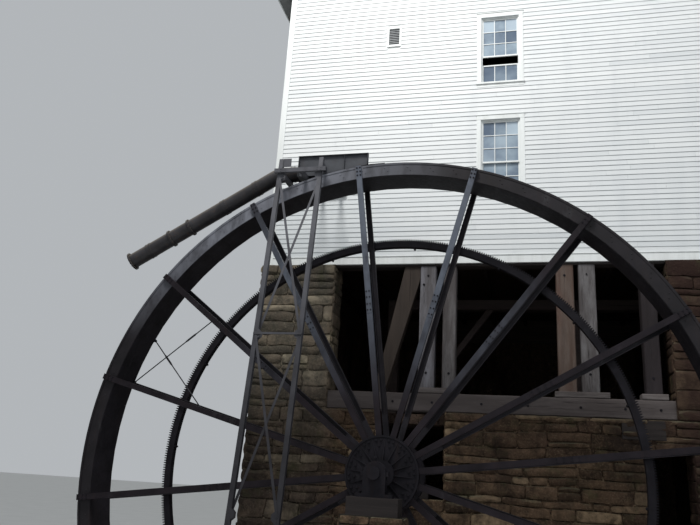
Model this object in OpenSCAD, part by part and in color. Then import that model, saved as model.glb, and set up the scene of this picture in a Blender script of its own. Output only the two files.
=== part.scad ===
// Grist mill with a tall overshot iron waterwheel.
// A clapboard house of two storeys and an attic stands on a stone base
// with an open undercroft behind timber posts. The waterwheel turns in
// front of its gable wall, fed at the top by a riveted penstock pipe
// that ends on a braced steel trestle.
// All lengths in millimetres. +X runs along the wheel wall, +Y goes into
// the house, +Z is up. The parts are laid out around the wheel's axis and
// moved at the end so that the origin is under the middle of the whole.

/* [Waterwheel] */
// Outer radius of the waterwheel
wheel_r = 6220; // [5800:10:6400]
// Width of the wheel over its two shrouds
wheel_w = 700; // [600:10:800]
// Radial depth of the shroud rings
shroud_d = 280; // [220:10:340]
// Thickness of a shroud plate
shroud_t = 12; // [8:1:20]
// Angle of the first arm above the horizontal
arm_first = -15.2; // [-20:0.1:0]
// Width of an arm, seen from the front
arm_w = 110; // [90:5:160]
// Depth of an arm along the axle
arm_d = 75; // [50:5:90]
// Buckets between two arms
buckets_per_bay = 5; // [4:1:6]
// Radius of the hub discs
hub_r = 685; // [600:5:800]
// Radius of the axle
axle_r = 110; // [90:1:130]
// Pitch radius of the segment gear
gear_r = 4780; // [4500:10:5000]
// Teeth on each gear segment
teeth_per_seg = 40; // [30:1:50]

/* [Levels] */
// Height of the axle above the bottom of the wheel pit
hub_h = 6600; // [6500:10:6800]
// Underside of the clapboard wall, above the axle
siding_z = 4910; // [4700:10:5100]
// Top of the stone wall below the undercroft, above the axle
stone_z = 1420; // [1200:10:1600]
// Floor of the lower storey, above the axle
floor1_z = 5900; // [5700:10:6000]
// Height of a storey
storey = 3000; // [2700:10:3100]
// Top of the side walls, above the axle
eave_z = 13250; // [13000:10:13600]

/* [House] */
// Wheel wall's outer face, behind the wheel's front shroud
wall_y = 2880; // [2700:10:3200]
// Left corner of the house
house_x0 = -3750; // [-4000:10:-3500]
// Width of the gable wall
house_w = 11580; // [11000:10:12000]
// Depth of the house
house_l = 10400; // [9000:10:12000]
// Thickness of the clapboard walls
wall_t = 200; // [150:5:250]
// Thickness of the stone walls
stone_t = 700; // [600:10:900]
// Rise of the roof for each metre of run
roof_rise = 667; // [500:1:800]
// Roof overhang at the eaves
eave_over = 450; // [300:10:600]
// Roof overhang at the gables
rake_over = 320; // [200:10:500]
// Thickness of the roof
roof_t = 180; // [120:5:220]

/* [Windows] */
// Width of a window opening
win_w = 960; // [800:10:1000]
// Height of a window opening
win_h = 1940; // [1700:10:2000]
// Height of a window sill above its floor
sill_h = 830; // [800:10:1000]

/* [Trestle] */
// Middle of the trestle's left leg
leg_x0 = -2424; // [-2600:1:-2300]
// Middle of its right leg
leg_x1 = -1541; // [-1650:1:-1450]
// Lean of the legs towards the wheel, per metre of height
leg_lean = 128.5; // [80:0.5:160]
// Width of the legs
leg_w = 90; // [70:5:110]
// Outer radius of the penstock pipe
pipe_r = 165; // [140:5:180]
// Slope of the penstock
pipe_a = 30.5; // [20:0.1:35]
// Height of the level end of the penstock above the axle
pipe_z = 6215; // [6200:5:6260]
// Length of the sloping pipe
pipe_l = 3700; // [3000:50:3800]

/* [Hidden] */

n_arms = 16;
bay = 360 / n_arms;
r_in = wheel_r - shroud_d;
house_x1 = house_x0 + house_w;
mid_x = (house_x0 + house_x1) / 2;
house_y1 = wall_y + house_l;
ridge_z = eave_z + roof_rise * house_w / 2000;
roof_a = atan(roof_rise / 1000);
brg_y0 = -760;
brg_w = 240;
x_min = -wheel_r;
x_max = house_x1 + eave_over;
foot_y = -1895;
y_min = foot_y - 125;
y_max = house_y1 + rake_over;
ox = (x_min + x_max) / 2;
oy = (y_min + y_max) / 2;
floor2_z = floor1_z + storey;
floor3_z = floor2_z + storey;
win_x = mid_x;
floor_t = 240;

module place() translate([-ox, -oy, hub_h]) children();
// a block from one corner to the other
module blk(a, b) translate(a) cube([b[0]-a[0], b[1]-a[1], b[2]-a[2]]);
// a round bar between two points of a plane y = const
module rod_xz(x0, z0, x1, z1, y, r) {
  l = sqrt((x1-x0)*(x1-x0) + (z1-z0)*(z1-z0));
  translate([x0, y, z0]) rotate([0, 90 - atan2(z1-z0, x1-x0), 0])
    cylinder(r = r, h = l, $fn = 24);
}
// a flat bar between two points of the plane, w wide and t thick
module bar_xz(x0, z0, x1, z1, y, w, t) {
  l = sqrt((x1-x0)*(x1-x0) + (z1-z0)*(z1-z0));
  translate([x0, y, z0]) rotate([0, -atan2(z1-z0, x1-x0), 0])
    translate([0, 0, -w/2]) cube([l, t, w]);
}

// ---------- stone base ----------
recess_x0 = -750;
recess_x1 = 800;
recess_z = -450;
pit_x0 = 5000;
pit_x1 = 5850;
pit_z = 750;
module wheel_wall_left() color("tan") place()
  blk([house_x0-120, wall_y-40, -hub_h], [recess_x0, wall_y-40+stone_t, stone_z]);
module wheel_wall_base() color("tan") place()
  blk([recess_x0, wall_y-40, -hub_h], [recess_x1, wall_y-40+stone_t, recess_z]);
module wheel_wall_right() color("tan") place()
  blk([recess_x1, wall_y-40, -hub_h], [pit_x0, wall_y-40+stone_t, stone_z]);
module wheel_wall_lintel() color("tan") place()
  blk([pit_x0, wall_y-40, pit_z], [pit_x1, wall_y-40+stone_t, stone_z]);
module wheel_wall_end() color("tan") place()
  blk([pit_x1, wall_y-40, -hub_h], [house_x1+120, wall_y-40+stone_t, stone_z]);
module foundation_left() color("tan") place()
  blk([house_x0-120, wall_y-40+stone_t, -hub_h],
      [house_x0-120+stone_t, house_y1+120-stone_t, siding_z]);
module foundation_right() color("tan") place()
  blk([house_x1+120-stone_t, wall_y-40+stone_t, -hub_h],
      [house_x1+120, house_y1+120-stone_t, siding_z]);
module foundation_rear() color("tan") place()
  blk([house_x0-120, house_y1+120-stone_t, -hub_h],
      [house_x1+120, house_y1+120, siding_z]);
pier_x = -1950;
pier_x1 = 5600;
module corner_pier_left() color("tan") place()
  blk([house_x0-120, wall_y-40, stone_z], [pier_x, wall_y-40+stone_t, siding_z]);
module corner_pier_right() color("tan") place()
  blk([pier_x1, wall_y-40, stone_z], [house_x1+120, wall_y-40+stone_t, siding_z]);
module undercroft_floor() color("darkgray") place()
  blk([house_x0-120+stone_t, wall_y-40+stone_t, stone_z-220],
      [house_x1+120-stone_t, house_y1+120-stone_t, stone_z]);

// ---------- undercroft timber ----------
beam_z = stone_z + 420;
module sill_beam() color("dimgray") place()
  blk([pier_x, wall_y, stone_z], [pier_x1, wall_y+380, beam_z]);
post_at = [[150, 380], [700, 310], [3260, 390], [3750, 370], [5040, 335]];
head_z = siding_z - 60;
module front_posts() color("gainsboro") place()
  for (p = post_at)
    blk([p[0], wall_y+30, beam_z+130], [p[0]+p[1], wall_y+350, head_z]);
module post_bases() color("silver") place()
  for (p = [[60, 1040], [3180, 1130], [4950, 520]])
    blk([p[0], wall_y+10, beam_z], [p[0]+p[1], wall_y+375, beam_z+130]);
// a heavy slanting timber beside the first post
module front_brace() color("rosybrown") place()
  translate([0, wall_y+320, 0]) rotate([90, 0, 0]) linear_extrude(260)
    polygon([[-860, beam_z], [-613, beam_z], [146, head_z-300], [146, head_z], [-226, head_z]]);
// thin plate between the post heads and the wall above
module header_plate() color("dimgray") place()
  blk([pier_x, wall_y+30, head_z], [pier_x1, wall_y+350, siding_z]);
// a beam on posts with a knee brace, set back in the dark
in_y = wall_y + 2300;
in_z = 4350;
module inner_frame() color("saddlebrown") place() {
  for (x = [-1030, 450, 3700, 5450]) blk([x, in_y, stone_z], [x+300, in_y+300, in_z-2]);
  blk([-1030, in_y, in_z], [5750, in_y+300, in_z+250]);
  translate([0, in_y+230, 0]) rotate([90, 0, 0]) linear_extrude(160)
    polygon([[752, 2990], [1762, in_z-2], [1583, in_z-2], [752, 3230]]);
}

// ---------- floors ----------
in_x0 = house_x0 + wall_t;
in_x1 = house_x1 - wall_t;
in_y0 = wall_y + wall_t;
in_y1 = house_y1 - wall_t;
module boards(z) blk([in_x0, in_y0, z-50], [in_x1, in_y1, z]);
module lower_floor() color("burlywood") place() boards(floor1_z);
module upper_floor() color("burlywood") place() boards(floor2_z);
module attic_floor() color("burlywood") place() boards(floor3_z);
module floor_joists() color("tan") place()
  for (z = [floor1_z, floor2_z, floor3_z])
    for (i = [0:9]) let (x = in_x0 + 560 + i*(in_x1-in_x0-1120)/9)
      blk([x-60, in_y0, z-floor_t], [x+60, in_y1, z-50]);

// ---------- clapboard walls ----------
module win_hole(x, z) translate([x-win_w/2, z]) square([win_w, win_h]);
vent_x = -750;
vent_z = 11080;
vent_w = 300;
vent_h = 520;
module gable_outline() polygon([[house_x0, siding_z], [house_x1, siding_z],
  [house_x1, eave_z-3], [mid_x, ridge_z-3], [house_x0, eave_z-3]]);
module front_wall() color("white") place()
  translate([0, wall_y+wall_t, 0]) rotate([90, 0, 0]) linear_extrude(wall_t)
    difference() {
      gable_outline();
      for (z = [floor1_z, floor2_z, floor3_z]) win_hole(win_x, z+sill_h);
      translate([vent_x-vent_w/2, vent_z]) square([vent_w, vent_h]);
    }
door_w = 1500;
door_h = 2250;
module rear_wall() color("white") place()
  translate([0, house_y1, 0]) rotate([90, 0, 0]) linear_extrude(wall_t)
    difference() {
      gable_outline();
      translate([mid_x-door_w/2, floor1_z]) square([door_w, door_h]);
      for (x = [mid_x-3400, mid_x+3400]) for (z = [floor1_z, floor2_z]) win_hole(x, z+sill_h);
      for (z = [floor2_z, floor3_z]) win_hole(mid_x, z+sill_h);
    }
side_y = [for (i = [0:2]) wall_y + house_l*(1+2*i)/6];
module side_wall(x) translate([x, 0, 0]) rotate([90, 0, 90]) linear_extrude(wall_t)
    difference() {
      translate([in_y0, siding_z]) square([in_y1-in_y0, eave_z-siding_z-10]);
      for (y = side_y) for (z = [floor1_z, floor2_z]) win_hole(y, z+sill_h);
    }
module left_wall() color("white") place() side_wall(house_x0);
module right_wall() color("white") place() side_wall(house_x1-wall_t);

// ---------- windows ----------
// frame of four members that lines the opening, with an outer sill
fr = 32;
module frame_flat() difference() {
  square([win_w, win_h]);
  translate([fr, fr]) square([win_w-2*fr, win_h-2*fr]);
}
module frame_y(x, y, z) translate([x-win_w/2, y, z]) rotate([90, 0, 0]) linear_extrude(wall_t-40) frame_flat();
module frame_x(x, y, z) translate([x, y-win_w/2, z]) rotate([90, 0, 90]) linear_extrude(wall_t-40) frame_flat();
module window_frames() color("whitesmoke") place() {
  for (z = [floor1_z, floor2_z, floor3_z]) frame_y(win_x, wall_y+wall_t-20, z+sill_h);
  for (x = [mid_x-3400, mid_x+3400]) for (z = [floor1_z, floor2_z]) frame_y(x, house_y1-20, z+sill_h);
  for (z = [floor2_z, floor3_z]) frame_y(mid_x, house_y1-20, z+sill_h);
  for (y = side_y) for (z = [floor1_z, floor2_z]) {
    frame_x(house_x0+20, y, z+sill_h);
    frame_x(house_x1-wall_t+20, y, z+sill_h);
  }
}
module pane_y(x, y, z) blk([x-win_w/2+fr, y, z+fr], [x+win_w/2-fr, y+12, z+win_h-fr]);
module pane_x(x, y, z) blk([x, y-win_w/2+fr, z+fr], [x+12, y+win_w/2-fr, z+win_h-fr]);
module window_glass() color("lightsteelblue") place() {
  for (z = [floor1_z, floor2_z, floor3_z]) pane_y(win_x, wall_y+90, z+sill_h);
  for (x = [mid_x-3400, mid_x+3400]) for (z = [floor1_z, floor2_z]) pane_y(x, house_y1-100, z+sill_h);
  for (z = [floor2_z, floor3_z]) pane_y(mid_x, house_y1-100, z+sill_h);
  for (y = side_y) for (z = [floor1_z, floor2_z]) {
    pane_x(house_x0+90, y, z+sill_h);
    pane_x(house_x1-102, y, z+sill_h);
  }
}
module wall_vent() color("gray") place()
  blk([vent_x-vent_w/2, wall_y+40, vent_z], [vent_x+vent_w/2, wall_y+90, vent_z+vent_h]);
module rear_door() color("dimgray") place() {
  blk([mid_x-door_w/2+2, house_y1-120, floor1_z], [mid_x-4, house_y1-60, floor1_z+door_h-4]);
  blk([mid_x+4, house_y1-120, floor1_z], [mid_x+door_w/2-2, house_y1-60, floor1_z+door_h-4]);
}
// corner boards that cover the ends of the clapboards, two at each corner
module corner_boards() color("white") place()
  for (x = [house_x0, house_x1]) for (y = [wall_y, house_y1])
    let (sx = x < mid_x ? -1 : 1, sy = y < wall_y+10 ? -1 : 1) {
      blk([min(x+sx*30, x-sx*130), min(y, y+sy*30), siding_z],
          [max(x+sx*30, x-sx*130), max(y, y+sy*30), eave_z-260]);
      blk([min(x, x+sx*30), min(y-sy*1, y-sy*130), siding_z],
          [max(x, x+sx*30), max(y-sy*1, y-sy*130), eave_z-260]);
    }

// ---------- roof ----------
module roof_side(s) {
  run = house_w/2 + eave_over;
  translate([mid_x, wall_y-rake_over, ridge_z])
    mirror([s < 0 ? 1 : 0, 0, 0])
      rotate([90, 0, 0]) mirror([0, 0, 1]) linear_extrude(house_l + 2*rake_over)
        polygon([[0, 0], [run, -run*roof_rise/1000],
                 [run, -run*roof_rise/1000 + roof_t/cos(roof_a)],
                 [0, roof_t/cos(roof_a)]]);
}
module roof_left() color("slategray") place() roof_side(-1);
module roof_right() color("slategray") place() roof_side(1);
module ridge_cap() color("slategray") place()
  for (s = [0, 1])
    translate([mid_x, wall_y-rake_over, ridge_z+roof_t/cos(roof_a)])
      mirror([s, 0, 0]) rotate([90, 0, 0]) mirror([0, 0, 1]) linear_extrude(house_l + 2*rake_over)
        polygon([[0.5, 1], [220, -220*roof_rise/1000+1], [220, -220*roof_rise/1000+26], [0.5, 27]]);

// ---------- trestle ----------
lean_a = atan(leg_lean / 1000);
// middle of a leg at a height
function leg_y(z) = -300 + leg_lean*(z-5800)/1000;
leg_top = 6300;
cap_z = 5940;
module leg(x) translate([x-leg_w/2, 0, 0]) rotate([90, 0, 90]) linear_extrude(leg_w)
  polygon([[leg_y(22-hub_h)-leg_w/2, 22-hub_h], [leg_y(22-hub_h)+leg_w/2, 22-hub_h],
           [leg_y(leg_top)+leg_w/2, leg_top], [leg_y(leg_top)-leg_w/2, leg_top]]);
module trestle_frame() color("lightslategray") place() {
  for (x = [leg_x0, leg_x1]) {
    leg(x);
    blk([x-125, foot_y-125, -hub_h], [x+125, foot_y+125, 20-hub_h]);
  }
  blk([-2520, -400, cap_z], [-1400, -342, cap_z+90]);
  blk([leg_x0+leg_w/2+2, -280, 6110], [-2200, -272, 6300]);
  blk([leg_x1-40, -203, 6120], [leg_x1+40, 38, 6200]);
}
// crossed flat bars in the plane of the legs, and one level strut
module lean_bar(x0, z0, x1, z1, y, w) translate([0, -300, 5800]) rotate([-lean_a, 0, 0])
  bar_xz(x0, (z0-5800)/cos(lean_a), x1, (z1-5800)/cos(lean_a), y, w, 8);
tier = [5900, 2415, -820, -4050, 130-hub_h];
module trestle_braces() color("lightslategray") place() {
  for (i = [0:3]) {
    lean_bar(leg_x0, tier[i], leg_x1, tier[i+1], -leg_w/2-10, 48);
    lean_bar(leg_x1, tier[i], leg_x0, tier[i+1], leg_w/2+2, 48);
  }
  lean_bar(leg_x0-40, tier[1], leg_x1+40, tier[1], -leg_w/2-21, 42);
}
// two ties over the wheel to a ledger on the house wall, with the pipe's saddle
module tie(x0, x1, y0) translate([x0, 0, 0]) rotate([90, 0, 90]) linear_extrude(x1-x0)
  polygon([[y0, cap_z+12], [760, cap_z+12], [wall_y-2, 6900], [wall_y-2, 6984], [742, cap_z+90], [y0, cap_z+90]]);
module trestle_ties() color("lightslategray") place() {
  tie(-2465, -2375, -222);
  tie(-1990, -1910, -340);
  blk([-2600, wall_y-100, 6745], [-1800, wall_y, 6845]);
  blk([-2465, 270, cap_z+92], [-2375, 430, pipe_z-pipe_r-2]);
}

// ---------- penstock and flume ----------
bend_r = 600;
bend_x = -2508.5;
out_x = -1750;
px = bend_x - bend_r*sin(pipe_a);
pz = pipe_z - bend_r*(1-cos(pipe_a));
mid_y = wheel_w/2;
module along(d) translate([px, mid_y, pz]) rotate([0, -90-pipe_a, 0]) translate([0, 0, d]) children();
module bend(r) translate([bend_x, mid_y, pipe_z-bend_r]) rotate([90, 0, 0]) rotate([0, 0, 90])
  rotate_extrude(angle = pipe_a, $fn = 96) translate([bend_r, 0]) circle(r = r, $fn = 64);
module level(x0, x1, r) translate([x0, mid_y, pipe_z]) rotate([0, 90, 0]) cylinder(r = r, h = x1-x0, $fn = 64);
// sloping pipe with two joint rings and an end collar
module penstock_pipe() color("dimgray") place() difference() {
  union() {
    along(0.2) cylinder(r = pipe_r, h = pipe_l-0.2, $fn = 64);
    for (d = [2150, 2650]) along(d-20) cylinder(r = pipe_r+30, h = 40, $fn = 64);
    along(pipe_l-30) cylinder(r = pipe_r+40, h = 30, $fn = 64);
  }
  along(-5) cylinder(r = pipe_r-10, h = pipe_l+10, $fn = 64);
}
module penstock_elbow() color("dimgray") place() difference() {
  union() {
    bend(pipe_r);
    level(bend_x-0.5, out_x, pipe_r);
    level(-2200, -2170, pipe_r+50);
  }
  union() {
    bend(pipe_r-10);
    level(bend_x-0.5, out_x+10, pipe_r-10);
  }
}
// open steel box over the wheel's crown: end plate, floor, lip and two sides
fl_y0 = 40;
fl_y1 = wheel_w - 40;
fl_top = 6480;
module slab_xz(y0, y1, p) translate([0, y1, 0]) rotate([90, 0, 0]) linear_extrude(y1-y0) polygon(p);
module flume() color("lightslategray") place() {
  for (y = [fl_y0, fl_y1-6])
    slab_xz(y, y+6, [[-2150, 6030], [-1750, 6030], [-600, 6235], [-600, fl_top], [-2150, fl_top]]);
  slab_xz(fl_y0+8, fl_y1-8, [[-2148, 6030], [-1752, 6030], [-1752, 6036], [-2148, 6036]]);
  slab_xz(fl_y0+8, fl_y1-8, [[-1750, 6030], [-602, 6234.6], [-602, 6240.6], [-1750, 6036]]);
  slab_xz(fl_y0+8, fl_y1-8, [[-598, 6236], [-250, 6250], [-250, 6256], [-598, 6242]]);
  blk([-2158, fl_y0, 6030], [-2152, mid_y-172, fl_top]);
  blk([-2158, mid_y+172, 6030], [-2152, fl_y1, fl_top]);
  blk([-2158, mid_y-170, pipe_z+172], [-2152, mid_y+170, fl_top]);
  blk([-2158, mid_y-170, 6030], [-2152, mid_y+170, pipe_z-172]);
}

// ---------- wheel bearings ----------
module bearing_pier() color("tan") place()
  blk([-550, brg_y0-100, -hub_h], [550, -400, -700]);
rb_y = wall_y + 120;
module bearing_blocks() color("dimgray") place() {
  blk([-450, brg_y0-100, -700], [450, -400, -400]);
  blk([-450, rb_y-60, recess_z], [450, rb_y+brg_w, -300]);
}
module pillow(y, z0) difference() {
  union() {
    translate([0, y+brg_w-60, 0]) rotate([90, 0, 0]) cylinder(r = 200, h = brg_w-60, $fn = 64);
    blk([-200, y, z0+60], [200, y+brg_w-60, 0]);
    blk([-330, y, z0], [330, y+brg_w-60, z0+60]);
  }
  translate([0, y+brg_w, 0]) rotate([90, 0, 0]) cylinder(r = axle_r+0.05, h = brg_w+100, $fn = 96);
}
module front_bearing() color("dimgray") place() pillow(brg_y0, -400);
module rear_bearing() color("dimgray") place() pillow(rb_y, -300);

// ---------- waterwheel ----------
gap_a = 0.04;
// one bay of a ring of the wheel
module ring_bay(r0, r1, y0, y1, i)
  translate([0, y1, 0]) rotate([90, 0, 0])
    rotate([0, 0, arm_first + i*bay + gap_a/2])
      rotate_extrude(angle = bay-gap_a, $fn = 360) translate([r0, 0]) square([r1-r0, y1-y0]);
module front_shroud() color("slategray") place()
  for (i = [0:n_arms-1]) ring_bay(r_in, wheel_r, 0, shroud_t, i);
module rear_shroud() color("slategray") place()
  for (i = [0:n_arms-1]) ring_bay(r_in, wheel_r, wheel_w-shroud_t, wheel_w, i);
// flat plates that line the inner side of the rim, one to a bucket
pitch = bay / buckets_per_bay;
module sole_plates() color("#2a2a2c") place()
  for (i = [0:n_arms*buckets_per_bay-1])
    rotate([0, -(arm_first + i*pitch + pitch/2), 0])
      translate([r_in*cos(pitch/2)-6, 0, -r_in*sin(pitch/2)+0.6])
        cube([6, wheel_w, 2*r_in*sin(pitch/2)-1.2]);
// a bucket blade slopes from the sole to the rim
module buckets() color("#2a2a2c") place()
  for (i = [0:n_arms*buckets_per_bay-1])
    translate([0, wheel_w-shroud_t-1, 0]) rotate([90, 0, 0])
      rotate([0, 0, arm_first + (i+0.5)*pitch])
        linear_extrude(wheel_w-2*shroud_t-2)
          polygon([[r_in+1, 0], [wheel_r-20, 290], [wheel_r-26, 297], [r_in+1, 10]]);
arm_r0 = 440;
module arm(y, s) difference() {
  blk([arm_r0, min(y, y+s*arm_d), -arm_w/2], [wheel_r-15, max(y, y+s*arm_d), arm_w/2]);
  blk([arm_r0+700, min(y-s, y+s*(arm_d-12)), -arm_w/2+12], [wheel_r, max(y-s, y+s*(arm_d-12)), arm_w/2-12]);
}
module front_arms() color("slategray") place()
  for (i = [0:n_arms-1]) rotate([0, -(arm_first+i*bay), 0]) arm(-1, -1);
module rear_arms() color("#2a2a2c") place()
  for (i = [0:n_arms-1]) rotate([0, -(arm_first+i*bay), 0]) arm(wheel_w+1, 1);
// outward teeth on a flat rim, cast in segments that meet between arms
g_y = wheel_w + arm_d + 2;
g_w = 140;
tooth = bay/teeth_per_seg;
function pol(r, a) = [r*cos(a), r*sin(a)];
module segment_gear() color("#2a2a2c") place()
  for (i = [0:n_arms-1])
    translate([0, g_y+g_w, 0]) rotate([90, 0, 0]) rotate([0, 0, arm_first + (i-0.5)*bay])
      linear_extrude(g_w) polygon(concat(
        [for (k = [0:12]) pol(gear_r-150, 0.03 + (bay-0.06)*(1-k/12))],
        [for (k = [0:teeth_per_seg-1]) for (c = [[0.15, -24], [0.36, 24], [0.64, 24], [0.85, -24]])
          pol(gear_r + c[1], (k+c[0])*tooth)]));
// crossed tie rods in two opposite bays, from the rim to the neighbouring rear arms
module tie_rods() color("#2a2a2c") place()
  for (i = [7, 15]) {
    a0 = arm_first + i*bay; a1 = a0 + bay;
    p = pol(5900, a0+12.4); q = pol(4240, a1-0.3);
    u = pol(4985, a0+0.3); v = pol(5900, a1-0.6);
    rod_xz(p[0], p[1], q[0], q[1], wheel_w-14, 12);
    rod_xz(u[0], u[1], v[0], v[1], wheel_w-40, 12);
  }
module disc(y, r, t) translate([0, y+t, 0]) rotate([90, 0, 0]) cylinder(r = r, h = t, $fn = 96);
module hub(y0, y1, n0, n1) difference() {
  union() { disc(y0, hub_r, 30); disc(y1-30, hub_r, 30); disc(n0, 240, n1-n0); }
  translate([0, n1+1, 0]) rotate([90, 0, 0]) cylinder(r = axle_r, h = n1-n0+2, $fn = 96);
}
module front_hub() color("#2a2a2c") place() hub(-arm_d-32, 30, -200, 120);
module rear_hub() color("#2a2a2c") place() hub(wheel_w-30, wheel_w+arm_d+32, wheel_w-120, wheel_w+220);
module axle() color("#2a2a2c") place()
  translate([0, rb_y+brg_w+60, 0]) rotate([90, 0, 0]) cylinder(r = axle_r, h = rb_y+brg_w+60-brg_y0+90, $fn = 96);

wheel_wall_left();
wheel_wall_base();
wheel_wall_right();
wheel_wall_lintel();
wheel_wall_end();
foundation_left();
foundation_right();
foundation_rear();
corner_pier_left();
corner_pier_right();
undercroft_floor();
sill_beam();
front_posts();
post_bases();
front_brace();
header_plate();
inner_frame();
lower_floor();
upper_floor();
attic_floor();
floor_joists();
front_wall();
rear_wall();
left_wall();
right_wall();
window_frames();
window_glass();
wall_vent();
rear_door();
corner_boards();
roof_left();
roof_right();
ridge_cap();
trestle_frame();
trestle_braces();
trestle_ties();
penstock_pipe();
penstock_elbow();
flume();
bearing_pier();
bearing_blocks();
front_bearing();
rear_bearing();
front_shroud();
rear_shroud();
sole_plates();
buckets();
front_arms();
rear_arms();
segment_gear();
tie_rods();
front_hub();
rear_hub();
axle();
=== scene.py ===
# Looks of the grist mill and its waterwheel: boards, masonry, timber grain,
# sashes, rivets and weathered finishes, with some painted light and shade, round the imported CAD frame.
# Lengths are metres. The helpers take hub-centred places (x right, y into the
# house, z up from the axle) and move them into the shared frame.
import math
import random

import bpy
import bmesh
from mathutils import Vector, Matrix, noise


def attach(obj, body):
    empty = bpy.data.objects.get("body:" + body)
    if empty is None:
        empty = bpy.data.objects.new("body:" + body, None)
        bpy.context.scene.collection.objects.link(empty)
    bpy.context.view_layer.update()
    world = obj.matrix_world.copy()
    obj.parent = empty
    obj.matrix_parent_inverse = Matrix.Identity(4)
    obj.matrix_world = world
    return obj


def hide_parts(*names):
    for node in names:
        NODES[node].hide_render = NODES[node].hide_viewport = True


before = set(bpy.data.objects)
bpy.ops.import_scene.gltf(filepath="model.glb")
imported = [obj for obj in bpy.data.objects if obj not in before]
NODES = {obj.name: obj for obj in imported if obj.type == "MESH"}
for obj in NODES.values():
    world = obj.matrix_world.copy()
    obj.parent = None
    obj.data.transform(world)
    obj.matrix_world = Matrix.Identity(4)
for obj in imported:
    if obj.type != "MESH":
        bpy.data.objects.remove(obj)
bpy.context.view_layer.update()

OX, OY, HZ = 1.030, 5.790, 6.600


def T(p):
    return (p[0] - OX, p[1] - OY, p[2] + HZ)


# ------------------------------------------------------------------ materials
def node(nt, kind, ins=None, **props):
    n = nt.nodes.new(kind)
    for k, v in props.items():
        setattr(n, k, v)
    for k, v in (ins or {}).items():
        s = n.inputs[k]
        if isinstance(v, bpy.types.NodeSocket):
            nt.links.new(v, s)
        else:
            s.default_value = v
    return n


def rgb(c):
    return (c[0], c[1], c[2], 1.0)


class Mat:
    """A small builder for procedural materials in object coordinates."""

    def __init__(self, name):
        self.m = bpy.data.materials.new(name)
        self.m.use_nodes = True
        self.nt = self.m.node_tree
        self.nt.nodes.clear()
        self.out = node(self.nt, "ShaderNodeOutputMaterial")
        self.co = node(self.nt, "ShaderNodeTexCoord").outputs["Object"]

    def scaled(self, sx, sy, sz, rot=(0, 0, 0), src=None):
        n = node(self.nt, "ShaderNodeMapping", {"Vector": src or self.co})
        n.inputs["Scale"].default_value = (sx, sy, sz)
        n.inputs["Rotation"].default_value = rot
        return n.outputs["Vector"]

    def noise(self, scale, detail=4.0, rough=0.55, vec=None, distort=0.0):
        return node(self.nt, "ShaderNodeTexNoise", {"Vector": vec or self.co, "Scale": scale,
                    "Detail": detail, "Roughness": rough, "Distortion": distort}).outputs["Fac"]

    def ramp(self, fac, stops, interp="LINEAR"):
        n = node(self.nt, "ShaderNodeValToRGB", {"Fac": fac})
        cr = n.color_ramp
        cr.interpolation = interp
        while len(cr.elements) > len(stops):
            cr.elements.remove(cr.elements[-1])
        while len(cr.elements) < len(stops):
            cr.elements.new(0.5)
        for e, (p, c) in zip(cr.elements, stops):
            e.position = p
            e.color = rgb(c) if not isinstance(c, (int, float)) else (c, c, c, 1.0)
        return n.outputs["Color"]

    def mix(self, fac, a, b, mode="MIX"):
        n = node(self.nt, "ShaderNodeMix", data_type="RGBA", blend_type=mode)
        for idx, v in ((0, fac), (6, a), (7, b)):
            s = n.inputs[idx]
            if isinstance(v, bpy.types.NodeSocket):
                self.nt.links.new(v, s)
            elif idx == 0:
                s.default_value = v
            else:
                s.default_value = rgb(v) if len(v) == 3 else v
        return n.outputs[2]

    def math(self, op, a, b=None, clamp=False):
        n = node(self.nt, "ShaderNodeMath", operation=op, use_clamp=clamp)
        for i, v in enumerate((a, b)):
            if v is None:
                continue
            if isinstance(v, bpy.types.NodeSocket):
                self.nt.links.new(v, n.inputs[i])
            else:
                n.inputs[i].default_value = v
        return n.outputs[0]

    def maprange(self, v, a, b, c, d):
        n = node(self.nt, "ShaderNodeMapRange", {"Value": v, "From Min": a, "From Max": b, "To Min": c, "To Max": d})
        return n.outputs["Result"]

    def tint(self):
        return node(self.nt, "ShaderNodeAttribute", attribute_name="tint").outputs["Fac"]

    def upness(self):
        g = node(self.nt, "ShaderNodeNewGeometry")
        s = node(self.nt, "ShaderNodeSeparateXYZ", {"Vector": g.outputs["Normal"]})
        return s.outputs["Z"]

    def height(self):
        return node(self.nt, "ShaderNodeSeparateXYZ", {"Vector": self.co}).outputs["Z"]

    def bump(self, h, strength, dist, after=None):
        ins = {"Height": h, "Strength": strength, "Distance": dist}
        if after is not None:
            ins["Normal"] = after
        return node(self.nt, "ShaderNodeBump", ins).outputs["Normal"]

    def done(self, color, rough=0.6, normal=None, metal=0.0, spec=0.5, **kw):
        p = node(self.nt, "ShaderNodeBsdfPrincipled")
        for k, v in (("Base Color", color), ("Roughness", rough), ("Metallic", metal), ("Normal", normal)):
            if v is None:
                continue
            if isinstance(v, bpy.types.NodeSocket):
                self.nt.links.new(v, p.inputs[k])
            elif k == "Base Color":
                p.inputs[k].default_value = rgb(v)
            else:
                p.inputs[k].default_value = v
        p.inputs["Specular IOR Level"].default_value = spec
        for k, v in kw.items():
            p.inputs[k.replace("_", " ")].default_value = v
        self.nt.links.new(p.outputs["BSDF"], self.out.inputs["Surface"])
        return self.m


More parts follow.
